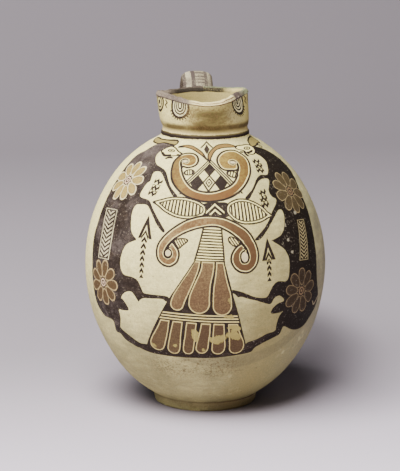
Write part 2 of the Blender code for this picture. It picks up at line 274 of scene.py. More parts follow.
LEAVES = [
    [(-65, 227, 0.5), (-55, 226.6, 3.6), (-42, 225.4, 8.2), (-28, 223.8, 10.6), (-15, 222.6, 9.6),
     (-7.5, 222.2, 7.0)],
    [(81, 213, 0.5), (73, 214.5, 3.6), (63, 216.8, 8.8), (52, 218.8, 12.2), (43, 220.2, 12.4),
     (35.5, 221.6, 9.0)],
]

# The skirt under the trunk: its two edges as (v, u), and rows of petals, each a stroke that widens downwards.
SKIRT_LEFT = [(60, -81), (83, -67.5), (133, -38.5), (174, -11.5), (205, -3)]
SKIRT_RIGHT = [(60, 57), (88, 44), (109, 37), (143, 27), (172, 20), (205, 18.5)]
PETALS_ODD = [
    [(-7, 177, 2.6), (-11.3, 165, 4.2), (-19.3, 150, 5.9), (-26, 137, 6.8), (-28.2, 131, 6.9)],
    [(14.8, 173, 3.8), (15.2, 165, 4.6), (15.6, 150, 7.2), (16.8, 138, 9.2), (17.2, 129, 9.6)],
    [(-41.5, 113, 4.6), (-46.5, 100, 6.4), (-51.5, 90, 7.8), (-53.5, 86.2, 7.9)],
    [(-14, 111, 5.2), (-16, 98, 5.3), (-18, 86, 5.6), (-18.8, 81.8, 5.5)],
    [(14, 109, 5.6), (14.2, 98, 6.0), (14.4, 87, 6.8), (14.2, 83, 6.7)],
]
PETALS_EVEN = [
    [(3, 177, 6.2), (2, 165, 6.4), (-2.7, 150, 8.0), (-5.5, 138, 10.0), (-6, 132, 10.6)],
    [(-28, 113, 5.0), (-31.5, 98, 5.8), (-34, 86, 6.5), (-35, 82.3, 6.4)],
    [(0.8, 110, 5.0), (-1, 98, 5.6), (-3, 87, 6.3), (-3.8, 83.5, 6.2)],
    [(28.5, 109, 5.0), (31, 98, 6.0), (34, 88, 7.6), (34.3, 84, 7.7)],
]

# Places where the paint has gone.
WORN = [
    [(-11, 101, 3.4), (-10, 95, 3.0)],
    [(7, 93, 3.0), (13, 93, 4.4), (19, 95.5, 3.4)],
    [(25, 99, 3.0), (30, 98, 4.2), (35, 95, 3.0)],
    [(24, 106, 1.4), (29, 106, 2.6), (34, 104, 2.6)],
    [(-33, 86, 1.6), (-32.5, 85, 1.4)],
    [(-2, 82, 1.6), (-1, 81, 1.4)],
    [(-59, 85, 1.6), (-57.5, 83, 1.6)],
    [(24, 136, 1.2), (25, 132, 1.2)],
    [(20, 118, 1.0), (27, 117, 1.6)],
    [(119, 212, 1.9), (119.5, 211, 1.7)],
    [(98.4, 176.2, 1.7), (98.8, 175.2, 1.5)],
    [(96.5, 202.4, 1.2), (96.4, 201.6, 1.2)],
    [(96, 188, 1.3), (96.3, 187, 1.2)],
    [(87, 186.4, 1.2), (87.3, 185.6, 1.2)],
]

# Small motifs by their centres: (u, v, turn in degrees), and how far each reaches from its centre, in mm.
ROSETTES = [(-125, 242, 12), (-121, 141, 0), (127, 231, 24), (111, 134, 8)]
ROSETTE_REACH = 27.0
ZIGZAGS = [
    (-67.9, 245.2, -14), (-69, 239.5, -10), (-70.7, 234.5, -14),
    (95.7, 261.6, -12), (94.8, 257.6, -10), (92, 253.6, -16),
    (77.8, 234.7, 8), (76.3, 229, 4), (75.9, 223.5, 0),
]
ZIGZAG_REACH = 8.0

# Strips on the goats' flanks by their corners: top left, top right, low left and low right.
PANELS = [
    ((-136, 212), (-112, 216), (-131, 165), (-111, 165)),
    ((116, 205), (129, 203), (111, 166), (126, 163)),
]

# Columns of chevrons: u and v of the top, how far each leans to the right, and its length. Below the head,
# the shorter column is drawn as the lowest part of the full one.
COLUMN_REACH = 10.0
COLUMN_HEAD = 22.4
COLUMN_LENGTH = 62.5
COLUMNS = [(-66.4, 215, -0.2, COLUMN_LENGTH), (68, 193.5, -1.5, 44.2)]

# Ovals as (u, v, turn in degrees, half length, half width), and how far each reaches, in half widths.
SEED_REACH = 1.8
EYE_REACH = 2.0
SEEDS = [(-24.7, 255, 10, 5.2, 3.6), (41.2, 253, -24, 5.8, 4.0)]
VOLUTE_EYES = [
    (-38.3, 181, 4, 2.2, 2.4), (40.6, 177, 2, 2.6, 3.8),
    (-35.8, 264.2, 10, 2.7, 1.6), (48.6, 262.8, -8, 3.6, 1.5),
]
GOAT_EYES = [(-75, 271.8, -8, 3.9, 2.0), (101, 272.8, 6, 4.2, 2.2), (150, 272, 0, 3.0, 2.6)]

# Under the lip: hanging loops as (u, half width, straight part, radius), nested ovals by u, bolts as (u, v).
NECK_LOOPS = [(-78, 36, 7.5, 11.5), (131, 33, 7.0, 10.5)]
NECK_LOOP_RINGS = (3.5, 6.1, 8.7)
NECK_OVALS = (-168.0, 222.0)
NECK_BOLTS = ((-135.0, 312.6), (178.0, 313.5))

# Heights of the painted bands, as v.
SKIRT_LOW = 76.0
PETAL_LINES = (111.2, 120.4)
SKIRT_TOP = 176.5
TRUNK = (174.6, 206.0)
NECK_LOW = 280.5
COLLAR_BAND = (282.0, 286.4)
LIP_PAINT = 317.4
LIP_LINE = 321.0

# Steps at which small marks are repeated, in mm.
PETAL_LINE_STEP = 3.05
TRUNK_BAR_STEP = 2.75
LEAF_BAR_STEP = 4.15
TONGUE_BAR_STEP = 2.9
ZIGZAG_STEP = 4.8
ARROW_STEP = 6.1
STRAP_BAR_STEP = 3.4
ROSETTE_PETALS = 9

# The loop's middle, and the diamond net in it: its top cell's place and a cell's half width.
LOOP_MIDDLE = 8.0
NET_MIDDLE = 7.7
NET_TOP = 262.2
NET_CELL = 8.5

# Tones of the slip and the paints, as screen colours of 0 to 255 a channel.
TONES = {
    "cream": (241, 228, 152),
    # Slip at the far right edge, greyed as painted shade.
    "shaded_grey_slip": (139, 135, 110),
    "mottled_slip": (178, 162, 104),
    "warm_slip": (140, 118, 50),
    "crescent": (112, 106, 78),
    "scratch": (150, 134, 92),
    "pale_slip": (244, 235, 172),
    "speck": (118, 98, 60),
    # Ink that the right goat takes as painted shade.
    "right_goat_shade_ink": (26, 20, 13),
    "rubbed_ink": (124, 112, 106),
    "tail_line": (176, 160, 124),
    "horn": (162, 148, 88),
    "deep_horn": (124, 108, 56),
    # Rosette and panel tones: the right and low ones are darker as painted shade.
    "left_petal_rim": (214, 200, 152),
    "low_left_petal_rim": (172, 150, 104),
    "right_petal_rim": (158, 140, 98),
    "low_right_petal_rim": (132, 113, 80),
    "left_petal": (176, 152, 84),
    "low_left_petal": (86, 67, 42),
    "right_petal": (78, 66, 41),
    "low_right_petal": (52, 41, 26),
    "petal_mottle": (66, 52, 38),
    "left_centre": (206, 178, 146),
    "right_centre": (128, 104, 74),
    "left_panel": (215, 204, 160),
    "right_panel": (172, 158, 112),
    "light_skirt_petal": (130, 110, 74),
    "right_skirt_petal": (82, 58, 40),
    "low_skirt_petal": (72, 56, 38),
    "skirt_petal_rim": (206, 188, 120),
    "skirt_line": (216, 200, 130),
    "volute_cream": (236, 220, 146),
    "arch": (147, 123, 80),
    "deep_arch": (107, 80, 50),
    "right_arch": (88, 63, 41),
    "loop": (150, 128, 62),
    "deep_loop": (112, 82, 42),
    "red_loop": (102, 66, 40),
    "loop_curl": (96, 72, 40),
    "heart": (142, 118, 66),
    "deep_heart": (118, 86, 46),
    "volute_eye": (214, 198, 148),
    "collar_cream": (210, 188, 130),
    "neck_tinge": (178, 161, 92),
    "neck_stain": (96, 84, 46),
    "right_neck_stain": (168, 154, 106),
    # The groove band's tones: partly dirt and partly painted shade.
    "groove": (90, 72, 38),
    "deep_groove_dirt_and_shade": (62, 46, 24),
    "lip": (78, 66, 62),
    "pale_lip": (130, 118, 102),
    "lip_green": (150, 152, 112),
    "deep_lip_green": (104, 112, 84),
    "rubbed_lip": (186, 172, 148),
    "spout_cream": (240, 228, 170),
    "deep_spout_cream": (206, 184, 128),
    "spout_line": (112, 80, 58),
    "neck_loop_cream": (210, 200, 150),
    "inner_clay": (206, 190, 128),
    "deep_inner_clay": (166, 148, 92),
    "worn_rim": (84, 72, 66),
    "pale_worn_rim": (136, 122, 104),
    # The far rim's tones: its dark paint deepened by painted shade.
    "far_rim_paint_and_shade": (28, 23, 16),
    "pale_far_rim": (52, 45, 33),
    # Foot tones: bare clay, laid more on the right side and in the foot's crease as painted shade.
    "foot_clay_and_shade": (146, 124, 84),
    "foot_crease_shade": (92, 74, 50),
    "underside": (190, 168, 122),
    "deep_underside": (166, 142, 100),
    "strap_slip": (190, 180, 148),
    "strap_mottle": (112, 102, 84),
    "strap_ink": (58, 48, 44),
    "worn_strap_ink": (90, 78, 72),
    "bared_slip": (188, 174, 100),
    "deep_bared_slip": (136, 122, 66),
    "right_bared_slip": (166, 158, 132),
    "ink_speck": (140, 130, 112),
    "ink_chip": (118, 108, 92),
    "neck_spot": (112, 92, 56),
    "low_spot": (96, 80, 54),
    "paper_shade": (40, 37, 40),
}


def linear(red, green, blue):
    """A screen colour of 0 to 255 a channel as the light values that a shader takes."""
    share = np.array([red, green, blue]) / 255.0
    return tuple(np.where(share <= 0.04045, share / 12.92, ((share + 0.055) / 1.055) ** 2.4))


def tone(name):
    """The light values of one of the tones."""
    return linear(*TONES[name])


def colour_property(name, description, red, green, blue):
    """A colour that a user may change, given as it shows on a screen."""
    shown = linear(red, green, blue)
    return bpy.props.FloatVectorProperty(
        name=name, description=description, subtype="COLOR", size=3, min=0.0, max=1.0, default=shown
    )


class JugSurfaceSettings(bpy.types.PropertyGroup):
    """How finely and how unevenly the clay is finished."""

    grid_spacing: bpy.props.FloatProperty(
        name="Grid spacing", description="Distance between the picture's rows", default=0.00145, unit="LENGTH"
    )
    dent_depth: bpy.props.FloatProperty(
        name="Dent depth", description="Broad unevenness left by the hand", default=0.0007, unit="LENGTH"
    )
    wheel_mark_depth: bpy.props.FloatProperty(
        name="Wheel mark depth", description="Faint rings left by the wheel", default=0.00022, unit="LENGTH"
    )
    lip_wear_depth: bpy.props.FloatProperty(
        name="Lip wear depth", description="Wear of the rim and the foot", default=0.0009, unit="LENGTH"
    )


class JugPaintSettings(bpy.types.PropertyGroup):
    """Main colours of the slip and the paints."""

    slip: colour_property("Slip", "Cream slip over the clay", 243, 231, 160)
    # The olive slip is also laid low down and on the right side of the jug as painted shade.
    slip_olive_and_shade: colour_property("Olive slip", "Slip where it is thin or stained", 147, 141, 98)
    dark: colour_property("Dark paint", "Brown-black paint", 38, 29, 23)
    dark_worn: colour_property("Worn dark paint", "The same paint where it is thin", 82, 69, 57)
    brown: colour_property("Red-brown paint", "Fill of the petals under the trunk", 101, 78, 53)


class JugStageSettings(bpy.types.PropertyGroup):
    """The plain floor and the soft light."""

    floor: colour_property("Floor", "Pale seamless paper", 151, 144, 151)
    # Painted light: the paper near the camera is made brighter, where the key light falls.
    floor_painted_light: colour_property("Floor in front", "The same paper near the camera, brighter", 228, 217, 232)
    key_power: bpy.props.FloatProperty(
        name="Key light", description="Power of the large soft light", default=250.0, unit="POWER"
    )
    fill_power: bpy.props.FloatProperty(
        name="Fill light", description="Power of the weak light from the right", default=1.5, unit="POWER"
    )
    sky_strength: bpy.props.FloatProperty(
        name="Sky strength", description="Even light from all round", default=0.07, min=0.0
    )


# Profile


def body_radius(height, wall=0.0):
    """Two half ellipses that share the widest height: R times the root of 1 - (rise over reach) squared."""
    height = np.asarray(height, float)
    reach = np.where(height > EQUATOR_HEIGHT, SHOULDER_RISE, BELLY_DROP) - wall
    share = (height - EQUATOR_HEIGHT) / reach
    return (BODY_RADIUS - wall) * np.sqrt(np.clip(1.0 - share ** 2, 0.0, 1.0))


def body_height(radius, upper, wall=0.0):
    """The height at which the body has this radius, on its shoulder or on its belly."""
    share = math.sqrt(max(0.0, 1.0 - (radius / (BODY_RADIUS - wall)) ** 2))
    return EQUATOR_HEIGHT + ((SHOULDER_RISE - wall) if upper else (wall - BELLY_DROP)) * share


COLLAR_BASE = body_height(COLLAR_RADIUS + COLLAR_STEP, upper=True)
COLLAR_TOP = COLLAR_BASE + COLLAR_RISE + COLLAR_HEIGHT
GROOVE_TOP = COLLAR_TOP + GROOVE_HEIGHT
LIP_HEIGHT = GROOVE_TOP + NECK_HEIGHT
FLOOR_HEIGHT = FOOT_RECESS + FLOOR_THICKNESS


def body_arc(start, end, wall=0.0):
    """A dense line of (radius, height) on the body between two heights, even in the ellipse's own angle."""
    upper = max(start, end) > EQUATOR_HEIGHT
    reach = (SHOULDER_RISE - wall) if upper else (wall - BELLY_DROP)
    ends = [math.asin(max(-1.0, min(1.0, (height - EQUATOR_HEIGHT) / reach))) for height in (start, end)]
    turn = np.linspace(*ends, 400)
    return np.stack([(BODY_RADIUS - wall) * np.cos(turn), EQUATOR_HEIGHT + reach * np.sin(turn)], axis=1)


def neck_radius(height):
    """A straight flare over the groove, and a slight bulge low down as the sine of pi times t to the 0.6."""
    t = np.clip((np.asarray(height, float) - GROOVE_TOP) / NECK_HEIGHT, 0.0, 1.0)
    return GROOVE_RADIUS + (LIP_RADIUS - GROOVE_RADIUS) * t + NECK_BULGE * np.sin(math.pi * t ** 0.6)


def quarter(centre_radius, centre_height, across, up, start, end):
    """Part of an ellipse round a centre, from one angle to another."""
    turn = np.radians(np.linspace(start, end, 24))
    return np.stack([centre_radius + across * np.cos(turn), centre_height + up * np.sin(turn)], axis=1)


def evenly(line, spacing):
    """The same line with its points at equal steps of length."""
    line = np.asarray(line, float)
    length = np.concatenate([[0.0], np.cumsum(np.hypot(*np.diff(line, axis=0).T))])
    where = np.linspace(0.0, length[-1], max(1, round(length[-1] / spacing)) + 1)
    return np.stack([np.interp(where, length, line[:, k]) for k in (0, 1)], axis=1)


def jug_profile(spacing):
    """Radius, height and zone from the underside's middle, up the outside and down to the inner floor."""
    base = FOOT_RADIUS - FOOT_TAPER
    ring = FOOT_RADIUS - FOOT_RING
    foot_join = max(body_height(FOOT_RADIUS + 0.0010, upper=False), FOOT_HEIGHT)
    inner_reach = NECK_WALL * CREST_SHARE
    outer_reach = NECK_WALL - inner_reach
    crest = float(neck_radius(LIP_HEIGHT)) - outer_reach
    neck = np.linspace(GROOVE_TOP, LIP_HEIGHT - LIP_BEVEL, 60)
    inner_neck = np.linspace(LIP_HEIGHT - inner_reach, GROOVE_TOP, 60)
    throat = GROOVE_RADIUS - NECK_WALL
    mouth = COLLAR_RADIUS - NECK_WALL + 0.0005
    neck_start = body_height(mouth, upper=True, wall=BODY_WALL)
    floor_start = max(body_height(FOOT_RADIUS - BODY_WALL, upper=False, wall=BODY_WALL), FLOOR_HEIGHT + 0.002)
    collar = [
        (COLLAR_RADIUS + COLLAR_STEP, COLLAR_BASE),
        (COLLAR_RADIUS + 0.0002, COLLAR_BASE + COLLAR_RISE * 0.7),
        (COLLAR_RADIUS, COLLAR_BASE + COLLAR_RISE),
        (COLLAR_RADIUS, COLLAR_TOP - COLLAR_HEIGHT * 0.4),
        (COLLAR_RADIUS - 0.0008, COLLAR_TOP),
        (GROOVE_RADIUS, GROOVE_TOP - GROOVE_HEIGHT * 0.7),
        (GROOVE_RADIUS - 0.0002, GROOVE_TOP - GROOVE_HEIGHT * 0.5),
        (GROOVE_RADIUS, GROOVE_TOP),
    ]
    foot = [
        (base, FOOT_EDGE),
        (FOOT_RADIUS, FOOT_HEIGHT * 0.85),
        (float(body_radius(foot_join)), foot_join),
    ]
    runs = [
        (UNDERSIDE, [(0.0, FOOT_RECESS), (ring - FOOT_RECESS, FOOT_RECESS)], 0.008),
        (UNDERSIDE, [(ring - FOOT_RECESS, FOOT_RECESS), (ring, 0.0)], 0.0022),
        (UNDERSIDE, [(ring, 0.0), (base - FOOT_EDGE, 0.0)], 0.004),
        (WALL, quarter(base - FOOT_EDGE, FOOT_EDGE, FOOT_EDGE, FOOT_EDGE, -90, 0), 0.0008),
        (WALL, foot, 0.0022),
        (WALL, body_arc(foot_join, PICTURE_LOW), 0.0046),
        (WALL, body_arc(PICTURE_LOW, EQUATOR_HEIGHT), spacing),
        (WALL, body_arc(EQUATOR_HEIGHT + 1e-6, COLLAR_BASE), spacing),
        (WALL, collar, 0.0010),
        (WALL, np.stack([neck_radius(neck), neck], axis=1), spacing),
        (LIP, quarter(crest, LIP_HEIGHT - LIP_BEVEL, outer_reach, LIP_BEVEL, 0, 90), 0.0008),
        (LIP, quarter(crest, LIP_HEIGHT - inner_reach, inner_reach, inner_reach, 90, 180), 0.0008),
        (INSIDE, np.stack([neck_radius(inner_neck) - NECK_WALL, inner_neck], axis=1), 0.0040),
        (INSIDE, [(throat, GROOVE_TOP - GROOVE_HEIGHT * 0.5), (mouth, neck_start)], 0.0040),
        (INSIDE, body_arc(neck_start, EQUATOR_HEIGHT + 1e-6, BODY_WALL), 0.0105),
        (INSIDE, body_arc(EQUATOR_HEIGHT, floor_start, BODY_WALL), 0.0105),
        (INSIDE, [(0.6 * (FOOT_RADIUS - BODY_WALL), FLOOR_HEIGHT), (0.0, FLOOR_HEIGHT)], 0.009),
    ]
    points, zones = [np.array([[0.0, FOOT_RECESS]])], [UNDERSIDE]
    for zone, line, step in runs:
        made = evenly(line, step)
        if np.hypot(*(made[0] - points[-1][-1])) < 1e-5:
            made = made[1:]
        points.append(made)
        zones += [zone] * len(made)
    return np.vstack(points), np.array(zones)


# Lip


def hump(angle, centre, spread):
    """A smooth hump of height 1 at centre, round the jug: exp(-(distance over spread) squared / 2)."""
    away = np.arctan2(np.sin(angle - centre), np.cos(angle - centre))
    return np.exp(-0.5 * (away / spread) ** 2)


def lip_push(angle):
    """How far the lip is pressed in: a pinch on each side of the spout and a press at the back."""
    pinch = hump(angle, PINCH_ANGLE, PINCH_SPREAD) + hump(angle, -PINCH_ANGLE, PINCH_SPREAD)
    return PINCH_DEPTH * pinch + BACK_PRESS * hump(angle, math.pi, BACK_SPREAD)


def lip_lift(angle):
    """How far the lip rises: two lobes and the back up, the spout down, and a slight tilt of the whole."""
    lobes = hump(angle, LOBE_ANGLE, LOBE_SPREAD) + hump(angle, -LOBE_ANGLE, LOBE_SPREAD)
    back = BACK_RISE * hump(angle, math.pi, BACK_SPREAD)
    return LOBE_RISE * lobes + back - SPOUT_DIP * hump(angle, 0.0, SPOUT_SPREAD) + LIP_TILT * np.sin(angle)


def pressed(radius, angle, height):
    """Places of turned points once the lip is pressed into three lobes.

    The push fades down the neck as t t (3 - 2 t).
    """
    t = np.clip((height - GROOVE_TOP) / NECK_HEIGHT, 0.0, 1.0)
    share = t * t * (3 - 2 * t)
    pushed = radius - lip_push(angle) * share * (radius > 0)
    x = pushed * np.sin(angle) - LIP_LEAN * t * (radius > 0)
    return np.stack([x, -pushed * np.cos(angle), height + lip_lift(angle) * share], axis=-1)


# Relief


def lumps(points, size, seed, count=22):
    """Smooth unevenness from -1 to 1: a sum of sine waves in random directions, about the given size long."""
    dice = np.random.default_rng(seed)
    heading = dice.normal(size=(count, 3))
    heading /= np.linalg.norm(heading, axis=1, keepdims=True)
    length = size * dice.uniform(0.6, 1.7, count)
    phase = dice.uniform(0.0, 2.0 * math.pi, count)
    waves = np.sin(points @ (heading / length[:, None]).T * 2.0 * math.pi + phase)
    return waves.sum(axis=1) / math.sqrt(count) / 1.6


# Nicks in the lip's edge and in the foot: (angle from the spout in degrees, height, size, depth), metres.
NICKS = [
    (-61, 0.3225, 0.0040, 0.0012),
    (-34, 0.3222, 0.0052, 0.0010),
    (-12, 0.3221, 0.0046, 0.0012),
    (9, 0.3221, 0.0060, 0.0009),
    (30, 0.3222, 0.0042, 0.0011),
    (74, 0.3240, 0.0050, 0.0014),
    (118, 0.3245, 0.0046, 0.0013),
    (-110, 0.3240, 0.0054, 0.0012),
    (-20, 0.0030, 0.0060, 0.0012),
    (38, 0.0020, 0.0050, 0.0010),
    (150, 0.0026, 0.0070, 0.0014),
]


def worn_in(points, zones, settings):
    """How far each point lies under the true surface: dents, wheel rings, worn rim and foot, small nicks."""
    height = points[:, 2]
    outside = (zones == WALL) | (zones == LIP)
    dents = 0.5 + 0.5 * lumps(points, DENT_SIZE, 3)
    rings = 0.5 + 0.5 * np.sin(height / RING_SPACING * 2 * math.pi + 2.2 * lumps(points, RING_WANDER, 5))
    rings *= 0.5 + 0.5 * lumps(points, RING_PATCH, 7)
    edge = np.clip((height - (LIP_HEIGHT - LIP_BEVEL)) / LIP_BEVEL, 0, 1) * (zones == LIP)
    edge += np.clip(1.0 - height / FOOT_HEIGHT, 0, 1) * (zones == WALL)
    worn = np.clip(0.35 + 0.65 * lumps(points, WEAR_SIZE, 11), 0, 1)
    depth = settings.dent_depth * dents + settings.wheel_mark_depth * rings
    depth += settings.lip_wear_depth * worn * edge
    for degrees, at, size, bite in NICKS:
        turn = math.radians(degrees)
        radius = float(neck_radius(LIP_HEIGHT)) - float(lip_push(turn)) if at > 0.1 else FOOT_RADIUS
        centre = np.array([radius * math.sin(turn), -radius * math.cos(turn), at])
        away = np.linalg.norm(points - centre, axis=1) / size
        depth += bite * np.clip(1.0 - away * away, 0, 1) * (1.0 + 0.3 * lumps(points, NICK_GRAIN, 13))
    return np.where(outside, np.maximum(depth, 0.0), 0.0)


# Wall chart


def chart_of(angle, height):
    """u and v in mm of a place given by its angle from the spout and its turned height."""
    turned = np.arctan2(np.sin(angle + PICTURE_TURN), np.cos(angle + PICTURE_TURN))
    return np.stack([turned * BODY_RADIUS * MM, height * MM], axis=-1)


class WallChart:
    """Turns (u, v) in mm into places on the wall, in mm."""

    def __init__(self, profile, zones):
        outer = profile[zones == WALL] * MM
        rising = np.concatenate([[True], np.diff(outer[:, 1]) > 1e-6])
        self.line = outer[rising]

    def radius(self, v):
        """The wall's radius at a height, in mm."""
        return np.interp(v, self.line[:, 1], self.line[:, 0])

    def place(self, u, v):
        """The place on the wall: the angle is u over the widest radius, less the picture's turn."""
        angle = np.asarray(u, float) / (BODY_RADIUS * MM) - PICTURE_TURN
        radius = self.radius(v)
        height = np.broadcast_to(v, radius.shape)
        return np.stack([radius * np.sin(angle), -radius * np.cos(angle), height], axis=-1)

    def tangents(self, u, v, turn=0.0):
        """Unit vectors to the right and up the wall at a place, both turned by an angle in degrees."""
        right = self.place(u + 0.5, v) - self.place(u - 0.5, v)
        up = self.place(u, v + 0.5) - self.place(u, v - 0.5)
        right /= np.linalg.norm(right)
        up /= np.linalg.norm(up)
        c, s = math.cos(math.radians(turn)), math.sin(math.radians(turn))
        return right * c + up * s, up * c - right * s


def spline(points, steps):
    """A Catmull-Rom curve through the points, at even steps of its own parameter."""
    points = np.asarray(points, float)
    held = np.vstack([2 * points[0] - points[1], points, 2 * points[-1] - points[-2]])
    where = np.linspace(0, len(points) - 1, steps + 1)
    k = np.minimum(where.astype(int), len(points) - 2)
    t = (where - k)[:, None]
    a, b, c, d = held[k], held[k + 1], held[k + 2], held[k + 3]
    square = 2 * a - 5 * b + 4 * c - d
    cube = 3 * b - a - 3 * c + d
    return 0.5 * (2 * b + (c - a) * t + square * t ** 2 + cube * t ** 3)


def flowing(points, steps=5):
    """The curve with a few steps between each two points."""
    return spline(points, steps * (len(points) - 1))


def boxed(places, corners, reach):
    """Which places lie in the upright box round some corners, grown by a reach."""
    return np.all((places > corners.min(axis=0) - reach) & (places < corners.max(axis=0) + reach), axis=1)


def share_along(places, a, b):
    """Where each place stands along the straight piece from a to b: 0 at a, 1 at b."""
    return (places - a) @ (b - a) / max((b - a) @ (b - a), 1e-9)


def stroke_distance(places, chart, stroke):
    """Distance in mm from each place to the edge of a brush stroke, negative inside it.

    Between two points of the stroke, it is the distance to the straight piece less the half width there.
    """
    line = flowing(stroke) if len(stroke) > 2 else np.asarray(stroke, float)
    centres, half = chart.place(line[:, 0], line[:, 1]), np.maximum(line[:, 2], 0.3)
    reach = half.max() + FAR
    near = boxed(places, centres, reach)
    some, best = places[near], np.full(near.sum(), FAR)
    for a, b, half_a, half_b in zip(centres, centres[1:], half, half[1:]):
        t = np.clip(share_along(some, a, b), 0, 1)
        away = np.linalg.norm(some - a - t[:, None] * (b - a), axis=1)
        best = np.minimum(best, away - half_a - (half_b - half_a) * t)
    distance = np.full(len(places), FAR)
    distance[near] = best
    return distance


def strokes_distance(places, chart, strokes):
    """Distance in mm to the nearest of several strokes."""
    return np.min([stroke_distance(places, chart, stroke) for stroke in strokes], axis=0)


def enclosed(uv, outline):
    """Whether each (u, v) lies in a closed outline: a line to its right crosses it an odd number of times."""
    inside = np.zeros(len(uv), bool)
    for (u0, v0), (u1, v1) in zip(outline, np.roll(outline, -1, axis=0)):
        if v0 == v1:
            continue
        crosses = (uv[:, 1] > min(v0, v1)) & (uv[:, 1] <= max(v0, v1))
        inside ^= crosses & (uv[:, 0] < u0 + (uv[:, 1] - v0) * (u1 - u0) / (v1 - v0))
    return inside


def outline_distance(places, uv, chart, outlines):
    """Distance in mm to the nearest of several closed outlines, negative inside them."""
    total = np.full(len(places), FAR)
    for outline in outlines:
        closed = flowing([outline[-1], *outline, outline[0], outline[1]], 4)[4:-4]
        corners = chart.place(closed[:, 0], closed[:, 1])
        near = boxed(places, corners, FAR)
        some, best = places[near], np.full(near.sum(), FAR)
        for a, b in zip(corners, corners[1:]):
            t = np.clip(share_along(some, a, b), 0, 1)
            best = np.minimum(best, np.linalg.norm(some - a - t[:, None] * (b - a), axis=1))
        best = np.where(enclosed(uv[near], closed), -best, best)
        total[near] = np.minimum(total[near], best)
    return total


def line_marks(places, chart, strokes, reach=LINE_REACH):
    """For each place near a thin stroke: how far it is to one side, the stroke's half width, and 1 as a mask.

    Past an end, the half width falls by the distance to the end.
    """
    found = np.zeros((len(places), 3))
    closest = np.full(len(places), reach)
    for stroke in strokes:
        line = flowing(stroke)
        centres, half = chart.place(line[:, 0], line[:, 1]), line[:, 2]
        near = np.nonzero(boxed(places, centres, reach))[0]
        for a, b, half_a, half_b in zip(centres, centres[1:], half, half[1:]):
            along, some = b - a, places[near]
            t = share_along(some, a, b)
            held = np.clip(t, 0, 1)
            away = some - a - held[:, None] * along
            distance = np.linalg.norm(away, axis=1)
            out = some * (1.0, 1.0, 0.0) / np.linalg.norm(some[:, :2], axis=1, keepdims=True)
            side = np.where(np.einsum("ij,ij->i", np.cross(along, away), out) > 0, 1.0, -1.0)
            past = np.abs(t - held) * np.linalg.norm(along)
            better = distance < closest[near]
            rows = near[better]
            found[rows, 0] = (side * distance)[better]
            found[rows, 1] = (half_a + (half_b - half_a) * held - past)[better]
            found[rows, 2] = 1.0
            closest[rows] = distance[better]
    return found


def local_marks(places, chart, marks, reach):
    """For each place near a motif: how far right of and above its centre it is in mm, and 1 as a mask."""
    found = np.zeros((len(places), 3))
    closest = np.full(len(places), reach)
    for u, v, turn in marks:
        centre = chart.place(u, v)
        right, up = chart.tangents(u, v, turn)
        away = places - centre
        distance = np.linalg.norm(away, axis=1)
        near = distance < closest
        found[near] = np.stack([away @ right, away @ up, np.ones(len(places))], axis=1)[near]
        closest = np.where(near, distance, closest)
    return found


def local_ovals(places, chart, ovals, reach):
    """As local_marks, in shares of each oval's own half length and half width."""
    found = np.zeros((len(places), 3))
    for u, v, turn, half_long, half_wide in ovals:
        centre = chart.place(u, v)
        right, up = chart.tangents(u, v, turn)
        away = places - centre
        x, y = away @ right / half_long, away @ up / half_wide
        near = np.hypot(x, y) < reach
        near &= np.linalg.norm(away, axis=1) < reach * max(half_long, half_wide)
        found[near] = np.stack([x, y, np.ones(len(places))], axis=1)[near]
    return found


def panel_marks(places, chart, panels):
    """Across from -1 to 1 and up from -1 to 1 over each four-cornered panel, and a mask."""
    found = np.zeros((len(places), 3))
    for corners in panels:
        top_left, top_right, low_left, low_right = [chart.place(*corner) for corner in corners]
        centre = (top_left + top_right + low_left + low_right) / 4
        up = (top_left + top_right - low_left - low_right) / 4
        away = places - centre
        y = away @ up / (up @ up)
        top_half, low_half = (top_right - top_left) / 4, (low_right - low_left) / 4
        across = top_half * (1 + y[:, None]) + low_half * (1 - y[:, None])
        x = np.einsum("ij,ij->i", away, across) / np.einsum("ij,ij->i", across, across)
        near = (np.abs(x) < 1.7) & (np.abs(y) < 1.4) & (np.linalg.norm(away, axis=1) < 50)
        found[near] = np.stack([x, y, np.ones(len(places))], axis=1)[near]
    return found


def column_marks(places, chart, columns):
    """Across the column and down from its top in mm, and a mask. Below its head, v is taken from its foot."""
    found = np.zeros((len(places), 3))
    for u, top, lean, length in columns:
        angle = np.arctan2(places[:, 0], -places[:, 1]) + PICTURE_TURN
        drop = top - places[:, 2]
        shrink = chart.radius(places[:, 2]) / (BODY_RADIUS * MM)
        x = (angle * BODY_RADIUS * MM - u - lean * drop / length) * shrink
        near = (np.abs(x) < COLUMN_REACH) & (drop > -4) & (drop < length + 4)
        moved = np.where(drop < COLUMN_HEAD, drop, drop + COLUMN_LENGTH - length)
        found[near] = np.stack([x, moved, np.ones(len(places))], axis=1)[near]
    return found


def skirt_distance(uv, chart):
    """Distance in mm outside the skirt's two slanting edges, negative between them."""
    left = np.interp(uv[:, 1], *zip(*SKIRT_LEFT))
    right = np.interp(uv[:, 1], *zip(*SKIRT_RIGHT))
    return np.maximum(left - uv[:, 0], uv[:, 0] - right) * chart.radius(uv[:, 1]) / (BODY_RADIUS * MM) * 0.86


